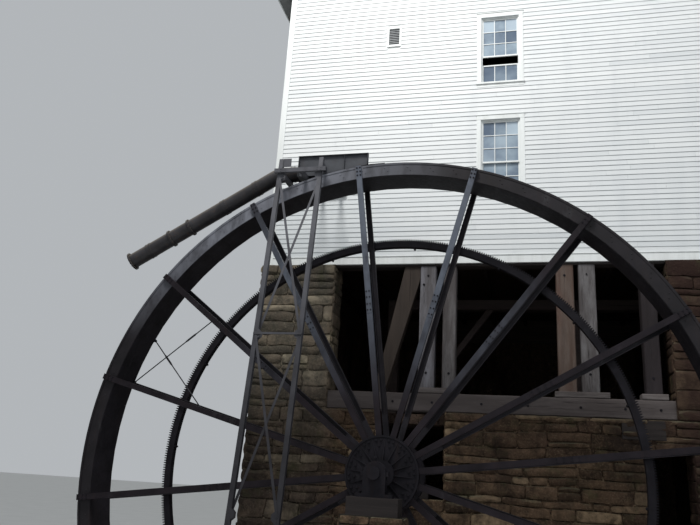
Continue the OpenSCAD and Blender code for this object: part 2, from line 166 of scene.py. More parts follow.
def mat_clapboard(name, grain_axis):
    m = Mat(name)
    g = (2.0, 2.0, 70.0) if grain_axis == "h" else (60.0, 60.0, 2.5)
    t = m.tint()
    base = m.ramp(t, [(0.0, (0.568, 0.592, 0.602)), (0.35, (0.630, 0.652, 0.659)), (0.7, (0.666, 0.686, 0.689)), (1.0, (0.690, 0.708, 0.708))])
    streak = m.noise(1.0, 5, 0.6, m.scaled(2.6, 2.6, 0.28))
    base = m.mix(m.ramp(streak, [(0.50, 0.0), (0.76, 0.30)]), base, (0.50, 0.53, 0.55))
    blotch = m.noise(0.55, 3, 0.5)
    base = m.mix(m.ramp(blotch, [(0.5, 0.0), (0.75, 0.25)]), base, (0.63, 0.65, 0.65))
    grain = m.noise(1.0, 6, 0.7, m.scaled(*g))
    peel = m.noise(9.0, 6, 0.75, m.scaled(0.35, 0.35, 1.4))
    base = m.mix(m.ramp(peel, [(0.70, 0.0), (0.74, 0.75)]), base, (0.33, 0.31, 0.28))
    # Painted shade: the siding turns greyer and darker low down, more so towards the left.
    at = node(m.nt, "ShaderNodeSeparateXYZ", {"Vector": m.co})
    low_shade = m.math("MULTIPLY", m.maprange(at.outputs["Z"], 11.5, 14.2, 0.52, 0.0), m.maprange(at.outputs["X"], -2.4, -0.7, 1.0, 0.35))
    base = m.mix(low_shade, base, (0.43, 0.475, 0.50))
    n = m.bump(grain, 0.35, 0.004)
    n = m.bump(peel, 0.15, 0.003, n)
    return m.done(base, m.maprange(grain, 0.3, 0.7, 0.42, 0.62), n, spec=0.35)


def mat_trim(name):
    m = Mat(name)
    grain = m.noise(1.0, 6, 0.65, m.scaled(14, 14, 14))
    st = m.noise(1.0, 4, 0.6, m.scaled(5, 5, 0.5))
    base = m.mix(m.ramp(st, [(0.45, 0.0), (0.8, 0.5)]), (0.74, 0.765, 0.76), (0.47, 0.49, 0.47))
    base = m.mix(m.ramp(grain, [(0.62, 0.0), (0.7, 0.4)]), base, (0.50, 0.50, 0.47))
    return m.done(base, 0.5, m.bump(grain, 0.2, 0.003), spec=0.35)


def mat_wall(name):
    """The CAD walls: paint outside and on the jambs, smoky boards inside."""
    m = Mat(name)
    grain = m.noise(1.0, 6, 0.65, m.scaled(14, 14, 14))
    st = m.noise(1.0, 4, 0.6, m.scaled(5, 5, 0.5))
    out = m.mix(m.ramp(st, [(0.45, 0.0), (0.8, 0.5)]), (0.74, 0.765, 0.76), (0.47, 0.49, 0.47))
    g = m.noise(1.0, 6, 0.65, m.scaled(0.7, 0.7, 26.0))
    boards = m.ramp(g, [(0.3, (0.050, 0.037, 0.032)), (0.7, (0.130, 0.098, 0.082))])
    sep = node(m.nt, "ShaderNodeSeparateXYZ", {"Vector": m.co})
    ins = None
    for ax, lo, hi in (("X", -3.750 + 0.16 - 1.030, 7.830 - 0.16 - 1.030), ("Y", 2.880 + 0.16 - 5.790, 13.280 - 0.16 - 5.790)):
        for op, v in (("GREATER_THAN", lo), ("LESS_THAN", hi)):
            k = m.math(op, sep.outputs[ax], v)
            ins = k if ins is None else m.math("MULTIPLY", ins, k)
    return m.done(m.mix(ins, out, boards), 0.6, m.bump(grain, 0.2, 0.003), spec=0.25)


def mat_stone(name, course=False):
    m = Mat(name)
    t = m.tint()
    big = m.noise(1.3, 4, 0.6)
    fine = m.noise(26.0, 8, 0.7)
    mid = m.noise(5.5, 6, 0.62)
    if course:
        sep = node(m.nt, "ShaderNodeSeparateXYZ", {"Vector": m.co})
        u = m.math("ADD", sep.outputs["X"], sep.outputs["Y"])
        v = node(m.nt, "ShaderNodeCombineXYZ", {"X": u, "Y": sep.outputs["Z"]}).outputs["Vector"]
        d = node(m.nt, "ShaderNodeTexNoise", {"Vector": m.co, "Scale": 3.0, "Detail": 3.0})
        v2 = node(m.nt, "ShaderNodeVectorMath", {0: v, 1: d.outputs["Color"]}, operation="MULTIPLY_ADD")
        v2.inputs[1].default_value = (1, 1, 1)
        m.nt.links.new(v, v2.inputs[0])
        off = node(m.nt, "ShaderNodeVectorMath", {0: d.outputs["Color"]}, operation="SCALE")
        off.inputs["Scale"].default_value = 0.07
        m.nt.links.new(off.outputs[0], v2.inputs[2])
        b = node(m.nt, "ShaderNodeTexBrick", {"Vector": v2.outputs[0], "Scale": 1.0, "Mortar Size": 0.02,
                 "Mortar Smooth": 0.35, "Brick Width": 0.78, "Row Height": 0.34, "Bias": 0.0})
        b.inputs["Color1"].default_value = (0.0, 0.0, 0.0, 1)
        b.inputs["Color2"].default_value = (1.0, 1.0, 1.0, 1)
        b.inputs["Mortar"].default_value = (0.4, 0.4, 0.4, 1)
        t = b.outputs["Color"]
        mortar = b.outputs["Fac"]
    base = m.ramp(t, [(0.0, (0.028, 0.020, 0.015)), (0.25, (0.060, 0.043, 0.031)), (0.5, (0.100, 0.074, 0.053)),
                      (0.75, (0.165, 0.130, 0.092)), (1.0, (0.270, 0.228, 0.165))])
    base = m.mix(m.ramp(m.noise(0.9, 3, 0.5), [(0.45, 0.0), (0.62, 0.50)]), base, (0.080, 0.056, 0.046))
    base = m.mix(m.ramp(mid, [(0.36, 0.75), (0.58, 0.0)]), base, (0.018, 0.014, 0.011))
    if course:
        # Painted light: the inner faces of the foundation, inside the house's walls, are made paler to lift the dark
        # undercroft.
        where = node(m.nt, "ShaderNodeSeparateXYZ", {"Vector": m.co})
        k = m.math("MULTIPLY", m.maprange(where.outputs["X"], -4.25, -4.15, 0.0, 1.0), m.maprange(where.outputs["X"], 6.15, 6.25, 1.0, 0.0))
        k = m.math("MULTIPLY", k, m.maprange(where.outputs["Y"], -2.32, -2.22, 0.0, 0.85))
        k = m.math("MULTIPLY", k, m.maprange(where.outputs["Y"], 6.85, 6.95, 1.0, 0.0))
        base = m.mix(k, base, (0.20, 0.165, 0.160))
    base = m.mix(m.ramp(fine, [(0.50, 0.0), (0.76, 0.55)]), base, (0.230, 0.195, 0.145))
    stain = m.noise(1.0, 5, 0.65, m.scaled(0.9, 0.9, 0.25))
    base = m.mix(m.ramp(stain, [(0.48, 0.0), (0.64, 0.78)]), base, (0.017, 0.013, 0.012))
    at = node(m.nt, "ShaderNodeSeparateXYZ", {"Vector": m.co})
    # Painted shade: the front of the wall grows darker towards its right end.
    right_shade = m.math("MULTIPLY", m.maprange(at.outputs["X"], 3.9, 4.8, 0.0, 0.86), m.maprange(at.outputs["Y"], -2.75, -2.30, 1.0, 0.0))
    base = m.mix(right_shade, base, (0.021, 0.0125, 0.0125))
    # Painted light: the upper front of the left pier is made paler, and that pier is kept out of the warmer tint
    # below, so it stays cooler.
    pier_light = m.math("MULTIPLY", m.maprange(at.outputs["X"], -3.1, -2.6, 1.0, 0.0), m.maprange(at.outputs["Z"], 7.3, 8.8, 0.0, 1.0))
    front = m.maprange(at.outputs["Y"], -2.0, 1.5, 1.0, 0.0)
    pier_light = m.math("MULTIPLY", pier_light, front)
    base = m.mix(pier_light, base, (0.028, 0.030, 0.025), mode="ADD")
    pier = m.math("MULTIPLY", m.maprange(at.outputs["X"], -3.1, -2.6, 1.0, 0.0), front)
    warm = m.maprange(pier, 0.0, 1.0, 1.0, 0.0)
    base = m.mix(warm, base, (1.06, 0.92, 0.80), mode="MULTIPLY")
    moss = m.noise(1.7, 7, 0.74)
    mossy = m.ramp(moss, [(0.54, 0.0), (0.64, 0.42)])
    base = m.mix(mossy, base, (0.046, 0.048, 0.022))
    up = m.math("MULTIPLY", m.maprange(m.upness(), 0.3, 0.9, 0.0, 0.7), m.ramp(big, [(0.35, 0.2), (0.55, 1.0)]))
    base = m.mix(up, base, (0.105, 0.100, 0.066))
    if course:
        base = m.mix(mortar, base, (0.018, 0.015, 0.012))
    crack = m.noise(1.0, 6, 0.72, m.scaled(2.4, 2.4, 9.0))
    n = m.bump(mid, 0.75, 0.050)
    n = m.bump(crack, 0.45, 0.016, n)
    n = m.bump(fine, 0.55, 0.009, n)
    if course:
        n = m.bump(m.math("SUBTRACT", 1.0, mortar), 0.7, 0.03, n)
    return m.done(base, 0.95, n, spec=0.15)


def mat_mortar(name):
    m = Mat(name)
    f = m.noise(30, 8, 0.7)
    b = m.noise(2.0, 4, 0.6)
    base = m.ramp(f, [(0.3, (0.010, 0.008, 0.006)), (0.7, (0.030, 0.025, 0.020))])
    base = m.mix(m.ramp(b, [(0.5, 0.0), (0.66, 0.6)]), base, (0.022, 0.026, 0.010))
    return m.done(base, 0.97, m.bump(f, 0.6, 0.012), spec=0.2)


def mat_wood(name, dark, light, axis, rough=0.75, wash=None, wash_amt=0.6, checks=0.8, red=None):
    m = Mat(name)
    s = {"x": (0.55, 9.0, 9.0), "y": (9.0, 0.55, 9.0), "z": (9.0, 9.0, 0.55)}[axis]
    k = {"x": (0.30, 26.0, 26.0), "y": (26.0, 0.30, 26.0), "z": (26.0, 26.0, 0.30)}[axis]
    t = m.tint()
    g = m.noise(1.0, 7, 0.66, m.scaled(*s), 0.6)
    c = m.noise(1.0, 5, 0.7, m.scaled(*k), 0.35)
    base = m.ramp(g, [(0.25, dark), (0.5, tuple((a + b) / 2 for a, b in zip(dark, light))), (0.78, light)])
    base = m.mix(m.ramp(t, [(0.0, 0.45), (0.5, 0.0)]), base, tuple(0.6 * a for a in dark))
    base = m.mix(m.ramp(t, [(0.5, 0.0), (1.0, 0.35)]), base, tuple(min(1, 1.25 * a) for a in light))
    if red:
        r = m.noise(1.0, 4, 0.6, m.scaled(4, 4, 0.5))
        base = m.mix(m.ramp(r, [(0.42, 0.0), (0.60, 0.8)]), base, red)
    if wash:
        w = m.noise(1.0, 6, 0.7, m.scaled(*{"x": (0.9, 5, 5), "y": (5, 0.9, 5), "z": (5, 5, 0.9)}[axis]))
        base = m.mix(m.ramp(w, [(0.36, wash_amt), (0.56, 0.0)]), base, wash)
    crack = m.ramp(c, [(0.325, 1.0), (0.37, 0.0)])
    base = m.mix(m.math("MULTIPLY", crack, checks), base, tuple(0.25 * a for a in dark))
    n = m.bump(g, 0.5, 0.010)
    n = m.bump(m.math("SUBTRACT", 1.0, crack), 0.8 * checks, 0.012, n)
    return m.done(base, rough, n, spec=0.3)


def mat_steel(name, c1, c2, rust=(0.10, 0.045, 0.022), rust_amt=0.6, rust_at=0.60, rough=(0.38, 0.62), dust=None,
              metal=0.0, lime=0.0, spec=0.5, painted_light=None, span=None):
    m = Mat(name)
    a = m.noise(3.0, 6, 0.6)
    b = m.noise(14.0, 7, 0.7)
    v = m.noise(1.0, 5, 0.65, m.scaled(7.0, 7.0, 0.8))
    base = m.ramp(a, [(0.3, c1), (0.7, c2)])
    spot = m.math("MULTIPLY", m.ramp(b, [(rust_at, 0.0), (rust_at + 0.08, 1.0)]), m.ramp(a, [(0.40, 0.25), (0.62, 1.0)]))
    base = m.mix(m.math("MULTIPLY", spot, rust_amt), base, rust)
    base = m.mix(m.ramp(v, [(0.56, 0.0), (0.74, 0.5 * rust_amt)]), base, tuple(0.8 * x for x in rust))
    # Painted light: a paler colour is blended in over a band of heights, cut off at the sides where span gives widths,
    # standing in for light and sheen on the upper parts.
    if painted_light:
        sep = node(m.nt, "ShaderNodeSeparateXYZ", {"Vector": m.co})
        k = m.maprange(sep.outputs["Z"], span[0], span[1], 0.0, 1.0)
        if len(span) > 2:
            k = m.math("MULTIPLY", k, m.maprange(sep.outputs["X"], span[2], span[3], 1.0, 0.0))
        if len(span) > 4:
            k = m.math("MULTIPLY", k, m.maprange(sep.outputs["X"], span[4], span[5], 0.0, 1.0))
        k = m.math("MULTIPLY", k, m.ramp(a, [(0.25, 0.70), (0.6, 1.0)]))
        k = m.math("MULTIPLY", k, m.ramp(m.noise(1.0, 5, 0.6, m.scaled(4.0, 4.0, 1.5)), [(0.30, 0.45), (0.52, 1.0)]))
        base = m.mix(k, base, painted_light)
    if lime:
        base = m.mix(m.ramp(m.noise(1.0, 6, 0.7, m.scaled(3, 3, 1.2)), [(0.60, 0.0), (0.70, lime)]), base, (0.30, 0.31, 0.32))
    if dust:
        base = m.mix(m.maprange(m.upness(), 0.2, 0.95, 0.0, 0.6), base, dust)
    rr = m.maprange(b, 0.3, 0.75, rough[0], rough[1])
    n = m.bump(b, 0.22, 0.004)
    n = m.bump(spot, 0.2, 0.002, n)
    return m.done(base, rr, n, metal=metal, spec=spec)


def mat_glass(name):
    m = Mat(name)
    w = m.noise(2.2, 3, 0.5)
    t = m.tint()
    # Painted reflection: the panes are opaque, and their blue-grey tones, which differ pane by pane, and the pale
    # patches below stand in for the sky reflected in the glass.
    base = m.ramp(t, [(0.0, (0.085, 0.115, 0.165)), (0.5, (0.175, 0.225, 0.290)), (1.0, (0.38, 0.45, 0.52))])
    base = m.mix(m.math("MULTIPLY", m.ramp(w, [(0.38, 0.0), (0.66, 0.45)]), m.maprange(t, 0.0, 0.3, 0.2, 1.0)), base, (0.46, 0.56, 0.62))
    return m.done(base, 0.12, m.bump(m.noise(5.0, 2, 0.4), 0.06, 0.01), spec=0.45)


def mat_roof(name, rough=(0.62, 0.80), metal=0.10):
    m = Mat(name)
    v = m.noise(1.0, 5, 0.6, m.scaled(0.5, 3.2, 0.5))
    b = m.noise(7.0, 6, 0.7)
    base = m.ramp(b, [(0.3, (0.17, 0.175, 0.18)), (0.7, (0.27, 0.275, 0.275))])
    base = m.mix(m.ramp(v, [(0.5, 0.0), (0.68, 0.5)]), base, (0.12, 0.085, 0.065))
    base = m.mix(m.ramp(m.noise(1.6, 6, 0.7), [(0.60, 0.0), (0.68, 0.6)]), base, (0.16, 0.10, 0.07))
    return m.done(base, m.maprange(b, 0.3, 0.7, rough[0], rough[1]), m.bump(b, 0.12, 0.004), metal=metal)


M = {}
M["clap"] = mat_clapboard("clapboard_paint", "h")
M["trim"] = mat_trim("trim_paint")
M["stone"] = mat_stone("field_stone")
M["stone_cad"] = mat_stone("coursed_stone", course=True)
M["mortar"] = mat_mortar("old_mortar")
M["wall"] = mat_wall("wall_boards")
M["sill"] = mat_wood("sill_timber", (0.030, 0.024, 0.024), (0.080, 0.066, 0.063), "x", wash=(0.130, 0.113, 0.110), wash_amt=0.40)
M["slab"] = mat_wood("base_timber", (0.060, 0.050, 0.048), (0.150, 0.130, 0.125), "x", wash=(0.22, 0.20, 0.195), wash_amt=0.4)
M["post"] = mat_wood("post_timber", (0.050, 0.045, 0.046), (0.125, 0.118, 0.126), "z", wash=(0.205, 0.203, 0.228), wash_amt=0.68)
# A darker copy of the post timber, for the right post of each pair: painted shade.
M["post_dim"] = mat_wood("post_timber_dim", (0.034, 0.029, 0.029), (0.092, 0.082, 0.082), "z", wash=(0.19, 0.185, 0.19), wash_amt=0.55)
M["post_red"] = mat_wood("post_timber_red", (0.046, 0.028, 0.021), (0.110, 0.078, 0.062), "z", wash=(0.17, 0.145, 0.13), wash_amt=0.35, red=(0.088, 0.044, 0.031))
# A much darker copy of the post timber, for the end post on the right: painted shade.
M["post_shade"] = mat_wood("post_timber_shade", (0.0075, 0.0048, 0.0056), (0.018, 0.0125, 0.0140), "z", wash=(0.032, 0.025, 0.028), wash_amt=0.4)
M["brace"] = mat_wood("brace_timber", (0.028, 0.020, 0.016), (0.078, 0.058, 0.046), "z")
M["dark_wood"] = mat_wood("dark_timber", (0.012, 0.009, 0.009), (0.034, 0.026, 0.024), "x")
M["inner_wood"] = mat_wood("inner_timber", (0.034, 0.024, 0.023), (0.092, 0.068, 0.062), "x")
M["joist"] = mat_wood("joist_timber", (0.040, 0.028, 0.025), (0.100, 0.074, 0.064), "y")
M["floor"] = mat_wood("floor_timber", (0.050, 0.035, 0.025), (0.115, 0.083, 0.057), "y", rough=0.65)
M["door"] = mat_wood("door_boards", (0.060, 0.063, 0.066), (0.125, 0.130, 0.132), "z", checks=0.5)
M["glass"] = mat_glass("pane_glass")
M["vent"] = mat_steel("vent_paint", (0.20, 0.215, 0.225), (0.28, 0.295, 0.305), rust_amt=0.3)
M["roof"] = mat_roof("seamed_roof")
M["ridge"] = mat_roof("ridge_sheet", rough=(0.88, 0.96), metal=0.0)
M["dark_steel"] = mat_steel("wheel_steel", (0.007, 0.006, 0.008), (0.018, 0.016, 0.021), rust=(0.032, 0.017, 0.012), rust_amt=0.55, rough=(0.5, 0.72), lime=0.05, spec=0.20, dust=(0.028, 0.027, 0.030))
# Painted sheen: the front face of the rim is paler on its upper left.
M["rim_face"] = mat_steel("rim_steel", (0.0050, 0.0038, 0.0052), (0.0120, 0.0095, 0.0125), rust=(0.034, 0.019, 0.014), rust_amt=0.5, rough=(0.46, 0.68), lime=0.05, spec=0.26, dust=(0.024, 0.021, 0.025), painted_light=(0.165, 0.172, 0.200), span=(9.0, 11.4, -2.6, 0.2))
# Painted light: the front arms are paler on their upper parts.
M["arm_steel"] = mat_steel("arm_steel", (0.007, 0.005, 0.007), (0.017, 0.013, 0.017), rust=(0.034, 0.018, 0.014), rust_amt=0.5, rough=(0.50, 0.72), lime=0.04, spec=0.16, painted_light=(0.105, 0.119, 0.148), span=(7.9, 10.2, 0.4, 1.9, -4.3, -3.1))
M["iron"] = mat_steel("cast_iron", (0.0055, 0.0050, 0.0070), (0.014, 0.0125, 0.0165), rust=(0.028, 0.014, 0.010), rust_amt=0.5, rough=(0.55, 0.78), lime=0.03, spec=0.14)
# Painted shade and light: the trestle's steel is dark at the foot and paler towards the top.
M["trestle"] = mat_steel("trestle_steel", (0.014, 0.0135, 0.0165), (0.030, 0.0295, 0.0345), rust=(0.036, 0.021, 0.015), rust_amt=0.5, rust_at=0.62, rough=(0.48, 0.68), spec=0.26, painted_light=(0.094, 0.095, 0.108), span=(6.9, 10.9))
M["pipe"] = mat_steel("pipe_coating", (0.015, 0.014, 0.016), (0.038, 0.036, 0.040), rust=(0.070, 0.042, 0.028), rust_amt=0.7, rust_at=0.56, rough=(0.36, 0.58), dust=(0.26, 0.22, 0.17), spec=0.35)
M["flume"] = mat_steel("flume_steel", (0.030, 0.032, 0.038), (0.064, 0.068, 0.078), rust=(0.050, 0.030, 0.020), rust_amt=0.55, spec=0.3)
M["rod"] = mat_steel("rod_steel", (0.014, 0.014, 0.017), (0.036, 0.036, 0.042), rust=(0.045, 0.025, 0.016), rust_amt=0.6, spec=0.3)


# ---------------------------------------------------------------- mesh builder
class Build:
    def __init__(self, seed=1):
        self.v, self.f, self.t = [], [], []
        self.rng = random.Random(seed)

    def add(self, pts, faces, tint=None):
        b = len(self.v)
        t = self.rng.random() if tint is None else tint
        self.v += [T(p) for p in pts]
        self.f += [tuple(b + i for i in f) for f in faces]
        self.t += [t] * len(pts)

    BOXF = [(0, 1, 3, 2), (4, 6, 7, 5), (0, 4, 5, 1), (2, 3, 7, 6), (0, 2, 6, 4), (1, 5, 7, 3)]

    def hexa(self, p, tint=None):
        """Eight corners, ordered x-major like the corners of a box."""
        self.add(p, self.BOXF, tint)

    def box(self, a, b, tint=None):
        self.hexa([(x, y, z) for x in (a[0], b[0]) for y in (a[1], b[1]) for z in (a[2], b[2])], tint)

    def obox(self, c, ex, ey, ez, tint=None):
        """A box round c with half-edges ex, ey, ez (vectors)."""
        c, ex, ey, ez = Vector(c), Vector(ex), Vector(ey), Vector(ez)
        self.hexa([tuple(c + i * ex + j * ey + k * ez) for i in (-1, 1) for j in (-1, 1) for k in (-1, 1)], tint)

    def bar(self, p, q, w, t, side, tint=None):
        """A flat bar from p to q, w wide along 'side', t thick across it."""
        p, q, s = Vector(p), Vector(q), Vector(side)
        d = q - p
        n = d.cross(s).normalized()
        s = n.cross(d).normalized()
        self.obox((p + q) / 2, d / 2, s * (w / 2), n * (t / 2), tint)

    def tube(self, p, q, r, seg=12, r2=None, tint=None, caps=True):
        p, q = Vector(p), Vector(q)
        d = (q - p).normalized()
        a = d.orthogonal().normalized()
        b = d.cross(a)
        r2 = r if r2 is None else r2
        pts = []
        for c, rr in ((p, r), (q, r2)):
            for i in range(seg):
                w = 2 * math.pi * i / seg
                pts.append(tuple(c + rr * (math.cos(w) * a + math.sin(w) * b)))
        fs = [(i, (i + 1) % seg, seg + (i + 1) % seg, seg + i) for i in range(seg)]
        if caps:
            fs += [tuple(range(seg))[::-1], tuple(range(seg, 2 * seg))]
        self.add(pts, fs, tint)

    def bolt(self, p, n, r=0.018, h=0.014, seg=6, washer=True, tint=None):
        n = Vector(n).normalized()
        p = Vector(p)
        if washer:
            self.tube(p - n * 0.002, p + n * 0.004, r * 1.45, 10, tint=tint)
        self.tube(p, p + n * h, r, seg, tint=tint)

    def rivet(self, p, n, r=0.014, tint=None):
        """A domed rivet head of two rings."""
        n = Vector(n).normalized()
        p = Vector(p)
        a = n.orthogonal().normalized()
        b = n.cross(a)
        pts, fs, s = [], [], 7
        for rr, h in ((r, -0.002), (r * 0.86, r * 0.42)):
            for i in range(s):
                w = 2 * math.pi * i / s
                pts.append(tuple(p + n * h + rr * (math.cos(w) * a + math.sin(w) * b)))
        pts.append(tuple(p + n * r * 0.68))
        fs += [(i, (i + 1) % s, s + (i + 1) % s, s + i) for i in range(s)]
        fs += [(s + i, s + (i + 1) % s, 2 * s) for i in range(s)]
        fs.append(tuple(range(s))[::-1])
        self.add(pts, fs, tint)

    def poly(self, pts, d, tint=None):
        """A plane polygon pushed along d."""
        d = Vector(d)
        n = len(pts)
        a = [tuple(p) for p in pts]
        b = [tuple(Vector(p) + d) for p in pts]
        fs = [tuple(range(n))[::-1], tuple(range(n, 2 * n))]
        fs += [(i, (i + 1) % n, n + (i + 1) % n, n + i) for i in range(n)]
        self.add(a + b, fs, tint)

    def timber(self, a, b, axis, cut=0.014, rough=0.006, step=0.22, tint=None, skew=None):
        """A hewn timber: eight-sided section with wavering faces."""
        ax = "xyz".index(axis)
        u, v = [i for i in range(3) if i != ax]
        n = max(2, int(abs(b[ax] - a[ax]) / step))
        t = self.rng.random() if tint is None else tint
        lo_u, hi_u, lo_v, hi_v = a[u], b[u], a[v], b[v]
        pts, fs = [], []
        ph = self.rng.random() * 50
        for i in range(n + 1):
            s = a[ax] + (b[ax] - a[ax]) * i / n
            c = cut * (0.7 + 0.8 * self.rng.random())
            ring = [(lo_u + c, lo_v), (hi_u - c, lo_v), (hi_u, lo_v + c), (hi_u, hi_v - c),
                    (hi_u - c, hi_v), (lo_u + c, hi_v), (lo_u, hi_v - c), (lo_u, lo_v + c)]
            for j, (x, y) in enumerate(ring):
                p = [0, 0, 0]
                p[ax] = s
                k = noise.noise((x * 3 + ph, y * 3, s * 1.7)) * rough * 1.6
                mu, mv = (lo_u + hi_u) / 2, (lo_v + hi_v) / 2
                p[u] = x - (1 if x > mu else -1) * (abs(k) + rough * 0.3)
                p[v] = y - (1 if y > mv else -1) * (abs(k) + rough * 0.3)
                if skew:
                    f = i / n
                    p[u] += skew[0] * f
                    p[v] += skew[1] * f
                pts.append(tuple(p))
        for i in range(n):
            for j in range(8):
                k = (j + 1) % 8
                fs.append((i * 8 + j, i * 8 + k, i * 8 + 8 + k, i * 8 + 8 + j))
        fs.append(tuple(range(8))[::-1])
        fs.append(tuple(range(n * 8, n * 8 + 8)))
        self.add(pts, fs, t)

    def obj(self, name, body, mat, slot, smooth=None, bevel=None, replaces=None):
        me = bpy.data.meshes.new(name)
        me.from_pydata(self.v, [], self.f)
        bm = bmesh.new()
        bm.from_mesh(me)
        bmesh.ops.recalc_face_normals(bm, faces=bm.faces)
        bm.to_mesh(me)
        bm.free()
        at = me.attributes.new("tint", "FLOAT", "POINT")
        at.data.foreach_set("value", self.t)
        me.materials.append(mat)
        if smooth:
            me.shade_smooth()
            me.set_sharp_from_angle(angle=math.radians(smooth))
        o = bpy.data.objects.new(name, me)
        bpy.context.scene.collection.objects.link(o)
        if bevel:
            b = o.modifiers.new("edge", "BEVEL")
            b.width = bevel
            b.segments = 2
            b.limit_method = "ANGLE"
            b.angle_limit = math.radians(40)
        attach(o, body)
        if replaces:
            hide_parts(*replaces)
        return o


def paint(mat, *names, bevel=None, tint=None):
    """Gives CAD nodes their finish; their meshes stay as they are."""
    for n in names:
        o = NODES[n]
        if not o.data.materials:
            o.data.materials.append(mat)
        for i in range(len(o.data.materials)):
            o.data.materials[i] = mat
        for s in o.material_slots:
            s.material = mat
        if bevel:
            b = o.modifiers.new("edge", "BEVEL")
            b.width = bevel
            b.segments = 2
            b.limit_method = "ANGLE"
            b.angle_limit = math.radians(40)


# ------------------------------------------------------------- main dimensions
WY = 2.880            # wheel wall
HX0, HX1 = -3.750, 7.830
HY1 = WY + 10.400
MX = (HX0 + HX1) / 2
SID, EAVE = 4.910, 13.250
RISE = 0.667
RIDGE = EAVE + RISE * (HX1 - HX0) / 2
FL = [5.900, 8.900, 11.900]
SILL_H, WW, WH = 0.830, 0.960, 1.940
STONE_Z, BEAM_Z = 1.420, 1.840
WHEEL_R, R_IN, WHEEL_W = 6.220, 5.940, 0.700
ARM0, BAY, NARM = -15.2, 22.5, 16
EXPO = 0.127


class Wall:
    """A vertical face: u runs along it, n points out."""

    def __init__(self, o, u, n, length, gable):
        self.o, self.u, self.n = Vector((o[0], o[1], 0)), Vector((u[0], u[1], 0)), Vector((n[0], n[1], 0))
        self.length, self.gable = length, gable

    def p(self, u, out, z):
        q = self.o + self.u * u + self.n * out
        return (q.x, q.y, z)

    def top(self, u=None):
        if not self.gable:
            return EAVE
        return EAVE + RISE * min(u, self.length - u)

    def span(self, z):
        """How far the wall reaches at a height."""
        if not self.gable or z <= EAVE:
            return 0.0, self.length
        c = (z - EAVE) / RISE
        return c, self.length - c

    def box(self, b, u0, u1, n0, n1, z0, z1, tint=None):
        b.hexa([self.p(u, n, z) for u in (u0, u1) for n in (n0, n1) for z in (z0, z1)], tint)


FRONT = Wall((HX0, WY), (1, 0), (0, -1), HX1 - HX0, True)
REAR = Wall((HX1, HY1), (-1, 0), (0, 1), HX1 - HX0, True)
LEFT = Wall((HX0, HY1), (0, -1), (-1, 0), HY1 - WY, False)
RIGHT = Wall((HX1, WY), (0, 1), (1, 0), HY1 - WY, False)
SIDE_U = [10.4 * (1 + 2 * i) / 6 for i in range(3)]
WIN = {
    "front": [(MX - HX0, f + SILL_H) for f in FL],
    "rear": [(MX - HX0 - 3.4, FL[0] + SILL_H), (MX - HX0 + 3.4, FL[0] + SILL_H), (MX - HX0 - 3.4, FL[1] + SILL_H),
             (MX - HX0 + 3.4, FL[1] + SILL_H), (MX - HX0, FL[1] + SILL_H), (MX - HX0, FL[2] + SILL_H)],
    "left": [(u, f + SILL_H) for u in SIDE_U for f in FL[:2]],
    "right": [(u, f + SILL_H) for u in SIDE_U for f in FL[:2]],
}
VENT = (-0.750, 11.080, 0.300, 0.520)
DOOR_W, DOOR_H = 1.500, 2.250


# ------------------------------------------------------------------ clapboards
def clapboards(name, wall, wins, extra, seed):
    b = Build(seed)
    rng = b.rng
    holes = [(u - WW / 2, u + WW / 2, z, z + WH) for u, z in wins] + extra
    z = SID + 0.205
    row = 0
    top = RIDGE - 0.10 if wall.gable else EAVE - 0.16
    edge = 0.131
    while z < top:
        z1 = min(z + EXPO, top)
        a0, a1 = wall.span(z)
        b0, b1 = wall.span(z1)
        lo, hi = max(a0, edge if z < EAVE else a0), min(a1, wall.length - edge if z < EAVE else a1)
        spans = [(lo, hi)]
        for h0, h1, hz0, hz1 in holes:
            if z < hz1 - 0.004 and z1 > hz0 + 0.004:
                new = []
                for s0, s1 in spans:
                    if h1 <= s0 or h0 >= s1:
                        new.append((s0, s1))
                        continue
                    if h0 > s0:
                        new.append((s0, h0 - 0.02))
                    if h1 < s1:
                        new.append((h1 + 0.02, s1))
                spans = new
        for s0, s1 in spans:
            cuts = [s0]
            c = s0 + rng.uniform(0.9, 4.2)
            while c < s1 - 0.5:
                cuts.append(c)
                c += rng.uniform(2.3, 4.6)
            cuts.append(s1)
            for i in range(len(cuts) - 1):
                u0, u1 = cuts[i] + (0.0015 if i else 0), cuts[i + 1] - (0.0015 if i < len(cuts) - 2 else 0)
                lip = 0.021 + rng.uniform(-0.0015, 0.002)
                dz = rng.uniform(-0.0012, 0.0012)
                t0 = max(u0, b0) if z1 > EAVE else u0
                t1 = min(u1, b1) if z1 > EAVE else u1
                if t1 - t0 < 0.02:
                    t0 = t1 = (max(u0, b0) + min(u1, b1)) / 2
                    t1 += 0.001
                pts = [wall.p(u0, -0.002, z + dz), wall.p(t0, -0.002, z1), wall.p(u0, lip, z + dz), wall.p(t0, 0.0065, z1 + 0.004),
                       wall.p(u1, -0.002, z + dz), wall.p(t1, -0.002, z1), wall.p(u1, lip, z + dz), wall.p(t1, 0.0065, z1 + 0.004)]
                b.hexa(pts, min(1, max(0, rng.gauss(0.58, 0.20))))
        z = z1
        row += 1
    b.obj(name, "structure", M["clap"], "white_clapboard")


clapboards("clapboards_front", FRONT, WIN["front"],
           [(VENT[0] - HX0 - VENT[2] / 2, VENT[0] - HX0 + VENT[2] / 2, VENT[1], VENT[1] + VENT[3]),
            (-2.62 - HX0, -1.78 - HX0, 6.735, 6.860), (-2.50 - HX0, -1.87 - HX0, 6.860, 6.995)], 11)
clapboards("clapboards_rear", REAR, WIN["rear"], [(MX - HX0 - DOOR_W / 2, MX - HX0 + DOOR_W / 2, FL[0], FL[0] + DOOR_H)], 12)
clapboards("clapboards_left", LEFT, WIN["left"], [], 13)
clapboards("clapboards_right", RIGHT, WIN["right"], [], 14)

